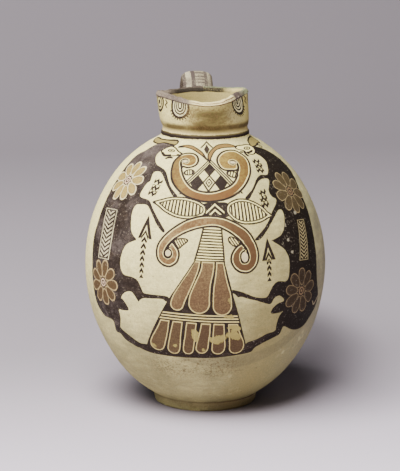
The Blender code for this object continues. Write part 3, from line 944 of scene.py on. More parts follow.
def painted_attributes(places, uv, zones, chart):
    """Every value that the paint reads, by name: distances in mm, and places inside the small motifs."""
    painted = (uv[:, 1] > CHART_LOW) & (uv[:, 1] < CHART_TOP) & (np.abs(uv[:, 0]) < CHART_REACH)
    on_wall = painted & (zones == WALL)
    some, some_uv = places[on_wall], uv[on_wall]

    def spread(values, empty):
        full = np.full((len(places), *values.shape[1:]), empty, float)
        full[on_wall] = values
        return full

    dark = outline_distance(some, some_uv, chart, GOATS)
    dark = np.minimum(dark, strokes_distance(some, chart, GROUND + BETWEEN_LEAVES))
    distances = {
        "dark": dark,
        "head": outline_distance(some, some_uv, chart, HEADS),
        "horn": outline_distance(some, some_uv, chart, HORNS),
        "arch": outline_distance(some, some_uv, chart, ARCH),
        "loop": outline_distance(some, some_uv, chart, LOOP),
        "heart": outline_distance(some, some_uv, chart, HEART),
        "tongue": outline_distance(some, some_uv, chart, TONGUES),
        "leaf": strokes_distance(some, chart, LEAVES),
        "skirt": skirt_distance(some_uv, chart),
        "petal_odd": strokes_distance(some, chart, PETALS_ODD),
        "petal_even": strokes_distance(some, chart, PETALS_EVEN),
        "worn": strokes_distance(some, chart, WORN),
    }
    marks = {
        "line": line_marks(some, chart, LINES),
        "fine_line": line_marks(some, chart, FINE_LINES),
        "pale_line": line_marks(some, chart, PALE_LINES),
        "rosette": local_marks(some, chart, ROSETTES, ROSETTE_REACH),
        "zigzag": local_marks(some, chart, ZIGZAGS, ZIGZAG_REACH),
        "seed": local_ovals(some, chart, SEEDS, SEED_REACH),
        "volute_eye": local_ovals(some, chart, VOLUTE_EYES, EYE_REACH),
        "goat_eye": local_ovals(some, chart, GOAT_EYES, EYE_REACH),
        "panel": panel_marks(some, chart, PANELS),
        "column": column_marks(some, chart, COLUMNS),
    }
    made = {name: spread(values, FAR) for name, values in distances.items()}
    made.update({name: spread(values, 0.0) for name, values in marks.items()})
    return made


# Mesh


def column_angles():
    """Angles from the spout: even and close across the picture, even and wide behind it."""
    front = np.linspace(PICTURE_START, PICTURE_END, PICTURE_COLUMNS, endpoint=False)
    back = np.linspace(PICTURE_END, PICTURE_START + 2 * math.pi, BACK_COLUMNS, endpoint=False)
    return np.concatenate([front, back])


def ring_faces(rows, columns, first=0):
    """Quads between rows of points that close round, as indices from a first one."""
    start = first + np.arange(rows - 1)[:, None] * columns
    here = start + np.arange(columns)
    there = start + (np.arange(columns) + 1) % columns
    return np.stack([here, there, columns + there, columns + here], axis=-1).reshape(-1, 4)


def fan_faces(pole, ring, flip):
    """Triangles that close a ring of points at its pole."""
    following = np.roll(ring, -1)
    made = np.stack([np.full(len(ring), pole), ring, following], axis=1)
    return made[:, ::-1] if flip else made


def grid_normals(grid):
    """Unit normals of a grid that closes round: the cross product of its two directions."""
    along = np.gradient(grid, axis=0)
    around = np.roll(grid, -1, axis=1) - np.roll(grid, 1, axis=1)
    normal = np.cross(around, along)
    return normal / np.maximum(np.linalg.norm(normal, axis=2, keepdims=True), 1e-12)


def handle_route():
    """The strap's middle line as (y, z): level out of the lip, up, down, and square into the shoulder."""
    lip_back = float(neck_radius(LIP_HEIGHT)) - float(lip_push(math.pi))
    root = LIP_HEIGHT - LIP_BEVEL - HANDLE_THICKNESS * 0.35
    crest = LIP_HEIGHT + HANDLE_RISE - HANDLE_THICKNESS / 2
    far = COLLAR_RADIUS + HANDLE_REACH
    foot_height = body_height(HANDLE_FOOT_RADIUS, upper=True)
    rise = foot_height - EQUATOR_HEIGHT
    out = np.array([HANDLE_FOOT_RADIUS / BODY_RADIUS ** 2, rise / SHOULDER_RISE ** 2])
    out /= np.linalg.norm(out)
    foot = np.array([HANDLE_FOOT_RADIUS, foot_height])
    drop = crest - foot_height
    points = [
        (lip_back - NECK_WALL * 0.62, root),
        (lip_back + HANDLE_THICKNESS * 0.25, root + HANDLE_THICKNESS * 0.12),
        (lip_back + HANDLE_THICKNESS * 0.75, LIP_HEIGHT + HANDLE_RISE * 0.15),
        (lip_back + (far - lip_back) * 0.48, crest),
        (lip_back + (far - lip_back) * 0.84, crest - drop * 0.13),
        (far, crest - drop * 0.40),
        (far, crest - drop * 0.68),
        tuple(foot + out * HANDLE_THICKNESS * 0.55),
        tuple(foot - out * HANDLE_BITE),
    ]
    return spline(points, HANDLE_STEPS)


def strap_grid():
    """The strap: an ellipse carried along the route, wider at its ends, charted as (across, along) in mm."""
    route = handle_route()
    along = np.linspace(0, 1, len(route))
    flare = 1 + (LIP_FLARE - 1) * np.clip(1 - along / 0.2, 0, 1) ** 2
    flare += (SHOULDER_FLARE - 1) * np.clip(1 - (1 - along) / 0.25, 0, 1) ** 2
    heading = np.gradient(route, axis=0)
    heading /= np.linalg.norm(heading, axis=1, keepdims=True)
    turn = np.linspace(0, 2 * math.pi, HANDLE_ROUND, endpoint=False)
    flat = HANDLE_WIDTH / 2 * flare[:, None] * np.cos(turn)
    thick = HANDLE_THICKNESS / 2 * flare[:, None] * np.sin(turn)
    roll = (HANDLE_ROLL * (1 - along))[:, None]
    across = flat * np.cos(roll) + thick * np.sin(roll)
    lift = thick * np.cos(roll) - flat * np.sin(roll)
    y = route[:, :1] - heading[:, 1:] * lift
    z = route[:, 1:] + heading[:, :1] * lift
    length = np.concatenate([[0], np.cumsum(np.linalg.norm(np.diff(route, axis=0), axis=1))])
    chart = np.stack([flat * MM, np.broadcast_to(length[:, None] * MM, across.shape)], axis=-1)
    grid = np.stack([across, y, z], axis=-1)
    grid[..., 2] = np.minimum(grid[..., 2], JUG_HIGH.z)
    return grid, chart


def bake_layout(face_uv, box):
    """Puts face corners that run from 0 to 1 into a box (left, low, right, high) of the picture square."""
    left, low, right, high = box
    return np.stack([left + face_uv[..., 0] * (right - left), low + face_uv[..., 1] * (high - low)], axis=-1)


def new_mesh_object(name, points, quads, triangles):
    """A mesh object from arrays, quads first."""
    mesh = bpy.data.meshes.new(name)
    corners = np.concatenate([quads.ravel(), triangles.ravel()]).astype(np.int32)
    sides = np.concatenate([np.full(len(quads), 4), np.full(len(triangles), 3)])
    mesh.vertices.add(len(points))
    mesh.vertices.foreach_set("co", points.astype(np.float32).ravel())
    mesh.loops.add(len(corners))
    mesh.loops.foreach_set("vertex_index", corners)
    mesh.polygons.add(len(sides))
    mesh.polygons.foreach_set("loop_start", np.concatenate([[0], np.cumsum(sides)[:-1]]).astype(np.int32))
    mesh.update(calc_edges=True)
    mesh.polygons.foreach_set("use_smooth", np.ones(len(sides), bool))
    mesh.validate()
    made = bpy.data.objects.new(name, mesh)
    bpy.context.scene.collection.objects.link(made)
    return made


def add_attributes(mesh, values):
    """Point attributes: numbers as FLOAT, and rows of three as FLOAT_VECTOR."""
    for name, array in values.items():
        vector = array.ndim == 2
        made = mesh.attributes.new(name, "FLOAT_VECTOR" if vector else "FLOAT", "POINT")
        made.data.foreach_set("vector" if vector else "value", array.astype(np.float32).ravel())


def row_and_column_uv(rows, columns, row_length, column_length):
    """Corners of the quads of a closed grid as shares of its whole height and width."""
    low, high = row_length[:-1, None], row_length[1:, None]
    left, right = column_length[None, :-1], column_length[None, 1:]
    corners = [(left, low), (right, low), (right, high), (left, high)]
    shape = (rows - 1, columns)
    made = [np.stack([np.broadcast_to(u, shape), np.broadcast_to(v, shape)], axis=-1) for u, v in corners]
    return np.stack(made, axis=2)


def shares(length):
    """Running lengths as shares from 0 to 1."""
    return (length - length[0]) / (length[-1] - length[0])


def turned_uv(profile, zones, angles):
    """The turned wall's corners in the bake square: the picture takes most of it, plain parts the rest."""
    rows, columns = len(profile), len(angles)
    length = np.concatenate([[0], np.cumsum(np.hypot(*np.diff(profile, axis=0).T))])
    spans = np.concatenate([angles, [angles[0] + 2 * math.pi]])
    picture = int(np.argmax((profile[:, 1] > PICTURE_LOW - 1e-5) & (zones == WALL)))
    rim = int(np.argmax(zones == INSIDE))
    last = rows - 1
    uv = np.zeros((rows - 1, columns, 4, 2))
    boxes = [
        (0, picture, 0, columns, LOW_BOX),
        (picture, rim, 0, PICTURE_COLUMNS, PICTURE_BOX),
        (picture, rim, PICTURE_COLUMNS, columns, BACK_BOX),
        (rim, last, 0, columns, INSIDE_BOX),
    ]
    for low, high, left, right, box in boxes:
        up, across = shares(length[low:high + 1]), shares(spans[left:right + 1])
        part = row_and_column_uv(high - low + 1, right - left, up, across)
        uv[low:high, left:right] = bake_layout(part, box)
    return uv


def make_jug_mesh(settings):
    """The turned, pressed wall and the strap as one mesh, with the paint's attributes and the bake's map."""
    profile, zones = jug_profile(settings.grid_spacing)
    chart = WallChart(profile, zones)
    angles = column_angles()
    rows, columns = len(profile), len(angles)
    radii = np.broadcast_to(profile[:, :1], (rows, columns))
    heights = np.broadcast_to(profile[:, 1:], (rows, columns))
    turned = pressed(radii, angles, heights)
    ring_zones = np.repeat(zones, columns)
    depth = worn_in(turned.reshape(-1, 3), ring_zones, settings).reshape(rows, columns, 1)
    worn = turned - grid_normals(turned) * depth
    worn[..., 2] = np.maximum(worn[..., 2], 0.0)
    strap, strap_chart = strap_grid()
    ring_points = worn[1:-1].reshape(-1, 3)
    ring_count = len(ring_points)
    poles = np.array([[0, 0, profile[0, 1]], [0, 0, profile[-1, 1]]])
    strap_points = strap.reshape(-1, 3)
    strap_poles = np.stack([strap[0].mean(axis=0), strap[-1].mean(axis=0)])
    points = np.vstack([ring_points, poles, strap_points, strap_poles])
    strap_first = ring_count + 2
    strap_last = strap_first + len(strap_points)
    quads = np.vstack([ring_faces(rows - 2, columns), ring_faces(len(strap), HANDLE_ROUND, strap_first)])
    first_ring, last_ring = np.arange(columns), ring_count - columns + np.arange(columns)
    strap_start = strap_first + np.arange(HANDLE_ROUND)
    strap_end = strap_last - HANDLE_ROUND + np.arange(HANDLE_ROUND)
    triangles = np.vstack([
        fan_faces(ring_count, first_ring, True),
        fan_faces(ring_count + 1, last_ring, False),
        fan_faces(strap_last, strap_start, True),
        fan_faces(strap_last + 1, strap_end, False),
    ])
    jug = new_mesh_object("painted_jug", points, quads, triangles)
    flat = np.stack([radii * np.sin(angles), -radii * np.cos(angles), heights], axis=-1)
    flat = flat[1:-1].reshape(-1, 3) * MM
    uv = chart_of(np.broadcast_to(angles, (rows, columns)), heights)[1:-1].reshape(-1, 2)
    inner_zones = ring_zones[columns:-columns]
    values = painted_attributes(flat, uv, inner_zones, chart)
    extra = len(points) - ring_count
    for name, array in values.items():
        empty = 0.0 if array.ndim == 2 else FAR
        values[name] = np.concatenate([array, np.full((extra, *array.shape[1:]), empty)])
    strap_uv = strap_chart.reshape(-1, 2)
    values["place"] = np.concatenate([
        np.column_stack([uv, inner_zones]),
        [[0, 0, UNDERSIDE], [0, 0, INSIDE]],
        np.column_stack([strap_uv, np.full(len(strap_uv), STRAP)]),
        [[0, 0, STRAP], [0, 0, STRAP]],
    ])
    add_attributes(jug.data, values)
    add_bake_map(jug.data, profile, zones, angles, len(strap))
    return jug


def add_bake_map(mesh, profile, zones, angles, strap_rows):
    """The map that the bake keeps: one corner pair for each face corner, in the order of the faces."""
    turned = turned_uv(profile, zones, angles)
    strap = row_and_column_uv(
        strap_rows, HANDLE_ROUND, np.linspace(0, 1, strap_rows), np.linspace(0, 1, HANDLE_ROUND + 1)
    )
    strap = bake_layout(strap, STRAP_BOX)
    quads = np.concatenate([turned[1:-1].reshape(-1, 2), strap.reshape(-1, 2)])
    first, last = turned[0], turned[-1]
    low_fan = np.stack([first[:, 2], first[:, 3], first[:, 0]], axis=1).reshape(-1, 2)
    high_fan = np.stack([(last[:, 2] + last[:, 3]) / 2, last[:, 0], last[:, 1]], axis=1).reshape(-1, 2)
    corner = np.array([[0.754, 0.004], [0.756, 0.004], [0.756, 0.006]])
    caps = np.tile(corner, (2 * HANDLE_ROUND, 1))
    layer = mesh.uv_layers.new(name="OFBake")
    layer.data.foreach_set("uv", np.concatenate([quads, low_fan, high_fan, caps]).astype(np.float32).ravel())


# Shader


class Value:
    """A number that changes over the surface. Python's operators on it add Math nodes."""

    def __init__(self, shader, socket):
        self.shader = shader
        self.socket = socket

    def __add__(self, other):
        return self.shader.math("ADD", self, other)

    def __sub__(self, other):
        return self.shader.math("SUBTRACT", self, other)

    def __rsub__(self, other):
        return self.shader.math("SUBTRACT", other, self)

    def __mul__(self, other):
        return self.shader.math("MULTIPLY", self, other)

    def __truediv__(self, other):
        return self.shader.math("DIVIDE", self, other)

    def __abs__(self):
        return self.shader.math("ABSOLUTE", self)

    def __mod__(self, other):
        return self.shader.math("FLOORED_MODULO", self, other)

    __radd__ = __add__
    __rmul__ = __mul__


class PaintShader:
    """The nodes of one material, and the colour that is built up on it layer by layer."""

    def __init__(self, name):
        self.material = bpy.data.materials.new(name)
        self.material.use_nodes = True
        self.tree = self.material.node_tree
        self.surface = self.tree.nodes["Principled BSDF"]
        self.read = {}
        self.colour = None

    def node(self, kind, settings=None, inputs=None):
        """A node of a type, with its settings first and then its sockets' values or links."""
        made = self.tree.nodes.new(kind)
        for name, value in (settings or {}).items():
            setattr(made, name, value)
        for name, value in (inputs or {}).items():
            self.feed(made.inputs[name], value)
        return made

    def feed(self, socket, value):
        """Links a value or a socket, or sets a plain number or colour."""
        if isinstance(value, Value):
            self.tree.links.new(value.socket, socket)
        elif isinstance(value, bpy.types.NodeSocket):
            self.tree.links.new(value, socket)
        else:
            socket.default_value = value

    def math(self, operation, *values):
        """A Math node on up to three values."""
        made = self.node("ShaderNodeMath", {"operation": operation}, dict(enumerate(values)))
        return Value(self, made.outputs[0])

    def least(self, a, b):
        return self.math("MINIMUM", a, b)

    def most(self, a, b):
        return self.math("MAXIMUM", a, b)

    def length(self, a, b):
        """The root of a squared plus b squared."""
        return self.math("SQRT", a * a + b * b)

    def attribute(self, name):
        """A number that the mesh carries at its points."""
        if name not in self.read:
            made = self.node("ShaderNodeAttribute", {"attribute_name": name, "attribute_type": "GEOMETRY"})
            self.read[name] = made
        return Value(self, self.read[name].outputs["Fac"])

    def parts(self, name):
        """The three numbers of a vector that the mesh carries at its points."""
        made = self.node("ShaderNodeAttribute", {"attribute_name": name, "attribute_type": "GEOMETRY"})
        split = self.node("ShaderNodeSeparateXYZ", None, {"Vector": made.outputs["Vector"]})
        return [Value(self, socket) for socket in split.outputs]

    def object_place(self):
        """X and Y in the piece's own space."""
        where = self.node("ShaderNodeTexCoord").outputs["Object"]
        split = self.node("ShaderNodeSeparateXYZ", None, {"Vector": where})
        return Value(self, split.outputs["X"]), Value(self, split.outputs["Y"])

    def noise(self, scale, detail=2.0, roughness=0.5, stretch=None):
        """Cloudy noise about 0.5, in Object coordinates; scale is in clouds a metre."""
        where = self.node("ShaderNodeTexCoord").outputs["Object"]
        if stretch is not None:
            stretched = self.node("ShaderNodeMapping", None, {"Vector": where, "Scale": stretch})
            where = stretched.outputs["Vector"]
        inputs = {"Vector": where, "Scale": scale, "Detail": detail, "Roughness": roughness}
        return Value(self, self.node("ShaderNodeTexNoise", None, inputs).outputs["Fac"])

    def ramp(self, value, low, high, start=0.0, end=1.0):
        """A soft step: start below low, end above high."""
        made = self.node(
            "ShaderNodeMapRange",
            {"interpolation_type": "SMOOTHSTEP", "clamp": False},
            {"Value": value, "From Min": low, "From Max": high, "To Min": start, "To Max": end},
        )
        return Value(self, made.outputs["Result"])

    def under(self, value, edge, soft=SOFT_EDGE):
        """1 where value is under the edge, 0 over it."""
        return self.ramp(value, edge - soft, edge + soft, 1.0, 0.0)

    def between(self, value, low, high, soft=SOFT_EDGE):
        """1 where value lies between two edges."""
        middle, half = (low + high) / 2, (high - low) / 2
        return self.under(abs(value - middle), half, soft)

    def mix(self, factor, a, b):
        """Two colours mixed by a factor."""
        made = self.node("ShaderNodeMix", {"data_type": "RGBA"}, {"Factor": factor})
        for index, value in ((6, a), (7, b)):
            self.feed(made.inputs[index], value if isinstance(value, bpy.types.NodeSocket) else (*value, 1.0))
        return made.outputs[2]

    def lay(self, mask, colour):
        """A layer of colour over what is there, where the mask is 1."""
        self.colour = self.mix(mask, self.colour, colour)


class JugPaint:
    """The jug's finish: slip, fills, dark strokes, reserved lines, wear and stains, laid in that order."""

    def __init__(self, settings):
        self.settings = settings
        self.shader = PaintShader("painted_clay")
        self.u, self.v, self.zone = self.shader.parts("place")
        s = self.shader
        self.fine = s.noise(520.0, 2.0) - 0.5
        self.broad = s.noise(95.0, 2.0) - 0.5
        self.cloud = s.noise(22.0, 3.0, 0.6)
        self.grain = s.noise(1400.0, 2.0, 0.6)
        self.mottle = s.noise(640.0, 3.0, 0.7)
        self.hand = self.fine * 1.1 + self.broad * 1.5
        self.wall = s.between(self.zone, WALL - 0.5, WALL + 0.5, 0.02)
        self.across, self.back = s.object_place()
        self.ink = self.paint_thinness(settings.dark, settings.dark_worn)
        self.cream = tone("cream")

    def clouded(self, first, second):
        """Two tones in soft clouds."""
        return self.shader.mix(self.cloud, tone(first), tone(second))

    def deep_ink(self, share=0.6):
        """The ink with fewer of its worn specks."""
        return self.shader.mix(share, self.ink, self.settings.dark)

    def right_shade_share(self):
        """0 on the picture's left, 1 on its right: how much painted shade a tone takes, as the right side
        turns from the light.
        """
        return self.shader.ramp(self.u, -20.0, 60.0)

    def lay_bands(self, distance, bands, soft=SOFT_EDGE, here=None):
        """Colours laid over each other, each where the distance is under its own edge."""
        s = self.shader
        for edge, colour in bands:
            mask = s.under(distance, edge, soft)
            s.lay(mask if here is None else mask * here, colour)

    def motif(self, name):
        """Right and up in a small motif's own frame, and a mask that is 1 near it."""
        x, y, mask = self.shader.parts(name)
        return x, y, self.shader.under(mask * -1.0, -0.99, 0.005)

    def paint_thinness(self, thick, thin):
        """A paint's colour, lighter where the brush ran dry and in small worn specks."""
        s = self.shader
        streak = s.noise(70.0, 4.0, 0.65, (1.0, 1.0, 2.2))
        return s.mix(s.ramp(streak + (self.grain - 0.5) * 0.9, 0.46, 0.92), thick, thin)

    def distance(self, name, hand):
        """A distance that the mesh carries, made uneven as by hand."""
        return self.shader.attribute(name) + self.hand * hand

    def lay_slip(self):
        """Cream slip, olive where it is thin, and more olive low down and to the right, partly its own tone
        and partly painted shade, with streaks left by the wheel and a few brown specks.

        The grey crescent under the ground line has the edge v = 60.5 + 0.0033 (u - 30) squared.
        """
        s, c = self.shader, self.settings
        streaks = s.noise(60.0, 3.0, 0.6, (1.0, 1.0, 3.0))
        # Partly the slip's own tone and partly painted shade: more olive low down and towards the right side.
        height = s.ramp(self.v, 40.0, 200.0, 0.36, 0.0)
        side = s.ramp(self.across, -0.055, 0.125, 0.0, 0.34)
        olive = s.ramp(self.cloud * 0.5 + streaks * 0.3 + self.grain * 0.2 + height + side, 0.42, 1.02)
        # Painted shade: the slip greys at the far right edge.
        thin = s.mix(s.ramp(self.across, 0.055, 0.12), c.slip_olive_and_shade, tone("shaded_grey_slip"))
        s.colour = s.mix(olive, c.slip, thin)
        mottled = s.ramp(s.noise(250.0, 3.0, 0.7), 0.38, 0.70, 0.0, 0.30)
        s.lay(mottled, tone("mottled_slip"))
        warm = s.between(self.u, 36.0, 88.0, 26.0) * s.under(self.v, 236.0, 12.0)
        s.lay(warm * 0.24, tone("warm_slip"))
        above_arc = self.v - 60.5 - (self.u - 30.0) * (self.u - 30.0) * 0.0033 + self.broad * 2.0
        crescent = s.between(above_arc, -0.4, 13.0, 1.2) * s.between(self.u, -50.0, 146.0, 24.0)
        s.lay(crescent * 0.42 * self.wall, tone("crescent"))
        scratches = s.ramp(s.noise(330.0, 2.0, 0.6, (0.3, 0.3, 1.8)), 0.66, 0.74, 0.0, 0.5)
        s.lay(scratches, tone("scratch"))
        pale = s.ramp(s.noise(34.0, 4.0, 0.7), 0.58, 0.75, 0.0, 0.35)
        s.lay(pale, tone("pale_slip"))
        specks = s.ramp(s.noise(400.0, 2.0, 0.6), 0.665, 0.73, 0.0, 0.65)
        s.lay(specks, tone("speck"))

    def line(self, name):
        """How far outside a thin line's edge a place is, in mm, and a mask that is 1 near it."""
        offset, half, near = self.motif(name)
        return abs(offset + self.fine * 0.5) - half * 1.5, near

    def lay_goats(self):
        """Dark silhouettes, blacker towards the right as painted shade and rubbed grey in clouds, a pale tail
        line, and cream heads with olive horns.
        """
        s, c = self.shader, self.settings
        self.dark = self.distance("dark", 0.45)
        # Painted shade: the right goat's ink turns nearly black towards the right side.
        goats = s.mix(s.ramp(self.u, 40.0, 100.0, 0.0, 0.9), self.ink, tone("right_goat_shade_ink"))
        s.lay(s.under(self.dark, 0.0), goats)
        rim = s.between(self.dark, -1.5, 0.0)
        s.lay(rim * 0.55, c.dark)
        rubbed = s.ramp(s.noise(48.0, 4.0, 0.75) + self.grain * 0.25, 0.56, 0.86, 0.0, 0.45)
        chest = s.ramp(self.v, 240.0, 268.0, 0.0, 0.16)
        left = s.ramp(self.u, -60.0, -110.0)
        s.lay((rubbed + chest) * s.under(self.dark, -0.4) * left, tone("rubbed_ink"))
        pale, near = self.line("pale_line")
        s.lay(s.under(pale, 0.0) * near * 0.8, tone("tail_line"))
        self.lay_bands(self.distance("head", 0.3), [(0.9, c.dark), (-0.8, self.cream)])
        olive = self.clouded("horn", "deep_horn")
        self.lay_bands(self.distance("horn", 0.3), [(0.6, c.dark), (-1.2, olive)])

    def lay_lines(self):
        """The spirals' inner lines and the goats' jaws and brows."""
        s, c = self.shader, self.settings
        for name in ("line", "fine_line"):
            edge, near = self.line(name)
            s.lay(s.under(edge, 0.42) * near, c.dark)

    def lay_rosettes(self):
        """Petals round a ringed centre: ovals repeated by folding the angle, each with a pale outline."""
        s, c = self.shader, self.settings
        x, y, here = self.motif("rosette")
        x, y = x + self.hand * 0.8, y + self.broad * 1.4
        step = 2 * math.pi / ROSETTE_PETALS
        rho = s.length(x, y)
        turn = s.math("ARCTAN2", y, x)
        folded = (turn + math.pi) % step - step / 2
        out, side = rho * s.math("COSINE", folded), rho * s.math("SINE", folded)
        reach = 8.4 + self.broad * 4.0
        along = (out - 14.4) / reach
        across = side / (out * 0.16 + 2.4)
        oval = (s.length(along, across) - 1.0) * 4.6
        # Painted shade: the petals' rims, fills and centres are darker on the right side and low down.
        right_shade_share = self.right_shade_share()
        low = s.ramp(self.v, 200.0, 160.0)
        pale_left = s.mix(low, tone("left_petal_rim"), tone("low_left_petal_rim"))
        pale_right = s.mix(low, tone("right_petal_rim"), tone("low_right_petal_rim"))
        fill_left = s.mix(low, tone("left_petal"), tone("low_left_petal"))
        fill_right = s.mix(low, tone("right_petal"), tone("low_right_petal"))
        pale = s.mix(right_shade_share, pale_left, pale_right)
        fill = s.mix(right_shade_share, fill_left, fill_right)
        fill = s.mix(s.ramp(self.grain + self.cloud * 0.5, 0.7, 0.9, 0.0, 0.5), fill, tone("petal_mottle"))
        s.lay(s.under(oval, 0.45) * here, pale)
        s.lay(s.under(oval - right_shade_share * 0.35, -0.4) * here, fill)
        s.lay(s.between(oval, -1.1, -0.6) * here * 0.4, c.dark_worn)
        s.lay(s.under(rho, 5.4) * here, self.ink)
        centre = s.mix(right_shade_share, tone("left_centre"), tone("right_centre"))
        s.lay(s.between(rho, 2.7, 4.2) * here, centre)
        s.lay(s.under(rho, 1.4) * here, centre)

    def lay_panels(self):
        """A framed strip of nested chevrons on each goat's flank, drawn in pale paint."""
        s = self.shader
        x, y, here = self.motif("panel")
        x, y = x + self.hand * 0.06, y + self.hand * 0.012
        inside = s.under(abs(x), 0.98, 0.03) * s.under(abs(y), 1.0, 0.01) * here
        # Painted shade: the pale paint is darker on the right side.
        pale = s.mix(self.right_shade_share(), tone("left_panel"), tone("right_panel"))
        frame = s.most(s.ramp(abs(x), 0.82, 0.88), s.ramp(abs(y), 0.965, 0.98))
        rows = (y * 5.6 - abs(x) * 1.5) % 1.0
        chevron = s.between(rows, 0.25, 0.66, 0.07)
        chevron = chevron * s.under(abs(x), 0.72, 0.04) * s.under(abs(y), 0.92, 0.01)
        s.lay(s.most(frame, chevron) * inside * s.ramp(self.grain + self.cloud, 0.72, 0.9, 0.35, 1.0), pale)

    def lay_skirt(self):
        """Dark ground, two rows of brown petals with pale outlines, and pale lines between the rows."""
        s, c = self.shader, self.settings
        skirt = self.distance("skirt", 0.5)
        slope = self.v + self.u * 0.05
        low = s.ramp(self.v, SKIRT_LOW, SKIRT_LOW + 1.0)
        body = s.under(skirt, 0.0) * low * s.under(self.v, SKIRT_TOP, 0.4)
        s.lay(body, self.ink)
        inside = s.under(skirt, -1.3) * low * s.under(self.v, SKIRT_TOP - 1.0, 0.4)
        rough = s.noise(260.0, 3.0, 0.7)
        patchy = s.ramp(self.cloud + (rough - 0.5) * 0.8 + (self.mottle - 0.5) * 1.4, 0.2, 0.9)
        brown = s.mix(patchy, c.brown, tone("light_skirt_petal"))
        brown = s.mix(s.ramp(self.u, -30.0, 40.0, 0.0, 0.5), brown, tone("right_skirt_petal"))
        brown = s.mix(s.ramp(self.v, 120.0, 112.0, 0.0, 0.62), brown, tone("low_skirt_petal"))
        over_lines = s.ramp(slope, 119.6, 120.2)
        rows = s.most(s.under(slope, 111.4, 0.3), over_lines * s.under(slope, 173.8, 0.3))
        fill_rows = s.most(s.under(slope, 109.9, 0.3), over_lines * s.under(slope, 172.6, 0.3))
        for name in ("petal_odd", "petal_even"):
            petal = self.distance(name, 0.45)
            s.lay(s.under(petal, 0.0) * inside * rows, tone("skirt_petal_rim"))
            s.lay(s.under(petal, -1.05) * inside * fill_rows, brown)
        band = s.between(slope, *PETAL_LINES, 0.2) * inside
        s.lay(band, self.ink)
        lines = s.between((slope - PETAL_LINES[0]) % PETAL_LINE_STEP, 1.5, 2.9, 0.25)
        s.lay(band * lines, tone("skirt_line"))

    def lay_trunk(self):
        """The trunk's ladder: dark bars between two dark edges."""
        s = self.shader
        skirt = self.distance("skirt", 0.5)
        slope = self.v + self.u * 0.06 + self.hand * 0.3
        inside = s.under(skirt, 0.0) * s.between(self.v, *TRUNK, 0.3)
        s.lay(inside, self.cream)
        bars = s.between(slope % TRUNK_BAR_STEP, 0.0, 1.45, 0.25)
        edges = s.between(skirt, -1.5, 0.2)
        s.lay(s.most(bars, edges) * inside, self.ink)

    def lay_leaves(self):
        """Two leaves: a double outline and slanting bars, with two pale crooks between them."""
        s = self.shader
        leaf = self.distance("leaf", 0.45)
        self.lay_bands(leaf, [(0.8, self.ink), (-0.8, self.cream), (-2.0, self.ink), (-3.3, self.cream)])
        bars = s.between((self.u - self.v * 0.06 + self.hand * 0.35) % LEAF_BAR_STEP, 0.0, 2.2, 0.3)
        s.lay(s.under(leaf, -3.2) * bars, self.ink)
        side = abs(self.u - 11.5)
        slope = side * 0.72 + self.v
        crook = s.between(slope, 226.2, 228.0) + s.between(slope, 221.2, 223.0)
        s.lay(crook * s.under(side, 10.5, 0.5) * s.between(self.v, 217.8, 228.4, 0.3), self.cream)

    def lay_volutes(self):
        """Bands of a dark line, a thin cream line and a brown fill. The loop has cream on one side alone."""
        s = self.shader
        cream = tone("volute_cream")
        rough = s.noise(240.0, 3.0, 0.65)
        patchy = self.cloud + (rough - 0.5) * 0.9 + (self.mottle - 0.5) * 1.2
        slit, near = self.line("line")
        beside = s.under(slit, 1.0) * near
        arch = self.distance("arch", 0.35)
        arch_fill = s.mix(s.ramp(patchy, 0.3, 0.75), tone("arch"), tone("deep_arch"))
        arch_fill = s.mix(s.ramp(self.u, -6.0, 34.0, 0.0, 0.85), arch_fill, tone("right_arch"))
        self.lay_bands(arch, [(0.4, self.ink), (-1.7, cream)])
        s.lay(s.under(arch + self.broad * 0.9, -2.6) * (1.0 - beside), arch_fill)
        tongue = self.distance("tongue", 0.3)
        self.lay_bands(tongue, [(0.6, self.ink), (-0.8, cream)])
        bars = s.between((self.u + self.v * 0.7) % TONGUE_BAR_STEP, 0.0, 1.6, 0.2)
        s.lay(s.under(tongue, -0.4) * bars, self.ink)
        self.lay_checker()
        loop = self.distance("loop", 0.35)
        redden = s.ramp(self.v, 258.0, 238.0) * s.ramp(abs(self.u - 14.0), 60.0, 24.0)
        loop_fill = s.mix(s.ramp(patchy, 0.3, 0.75), tone("loop"), tone("deep_loop"))
        loop_fill = s.mix(redden * 0.8, loop_fill, tone("red_loop"))
        curl = s.ramp(abs(self.u - LOOP_MIDDLE), 34.0, 60.0, 0.0, 0.5)
        loop_fill = s.mix(curl, loop_fill, tone("loop_curl"))
        s.lay(s.under(loop, 0.5), self.ink)
        across, down = (self.u - 12.0) / 60.0, (self.v - 262.0) / 28.0
        inner = s.under(s.length(across, down), 1.0, 0.03)
        inner = s.most(inner, s.ramp(self.u, 62.0, 66.0))
        s.lay(s.under(loop, -1.7), s.mix(inner, loop_fill, cream))
        s.lay(s.under(loop + self.broad * 0.8, -2.7) * (1.0 - beside), loop_fill)
        heart_fill = s.mix(patchy, tone("heart"), tone("deep_heart"))
        self.lay_bands(self.distance("heart", 0.25), [(0.6, self.ink), (-0.7, heart_fill)])

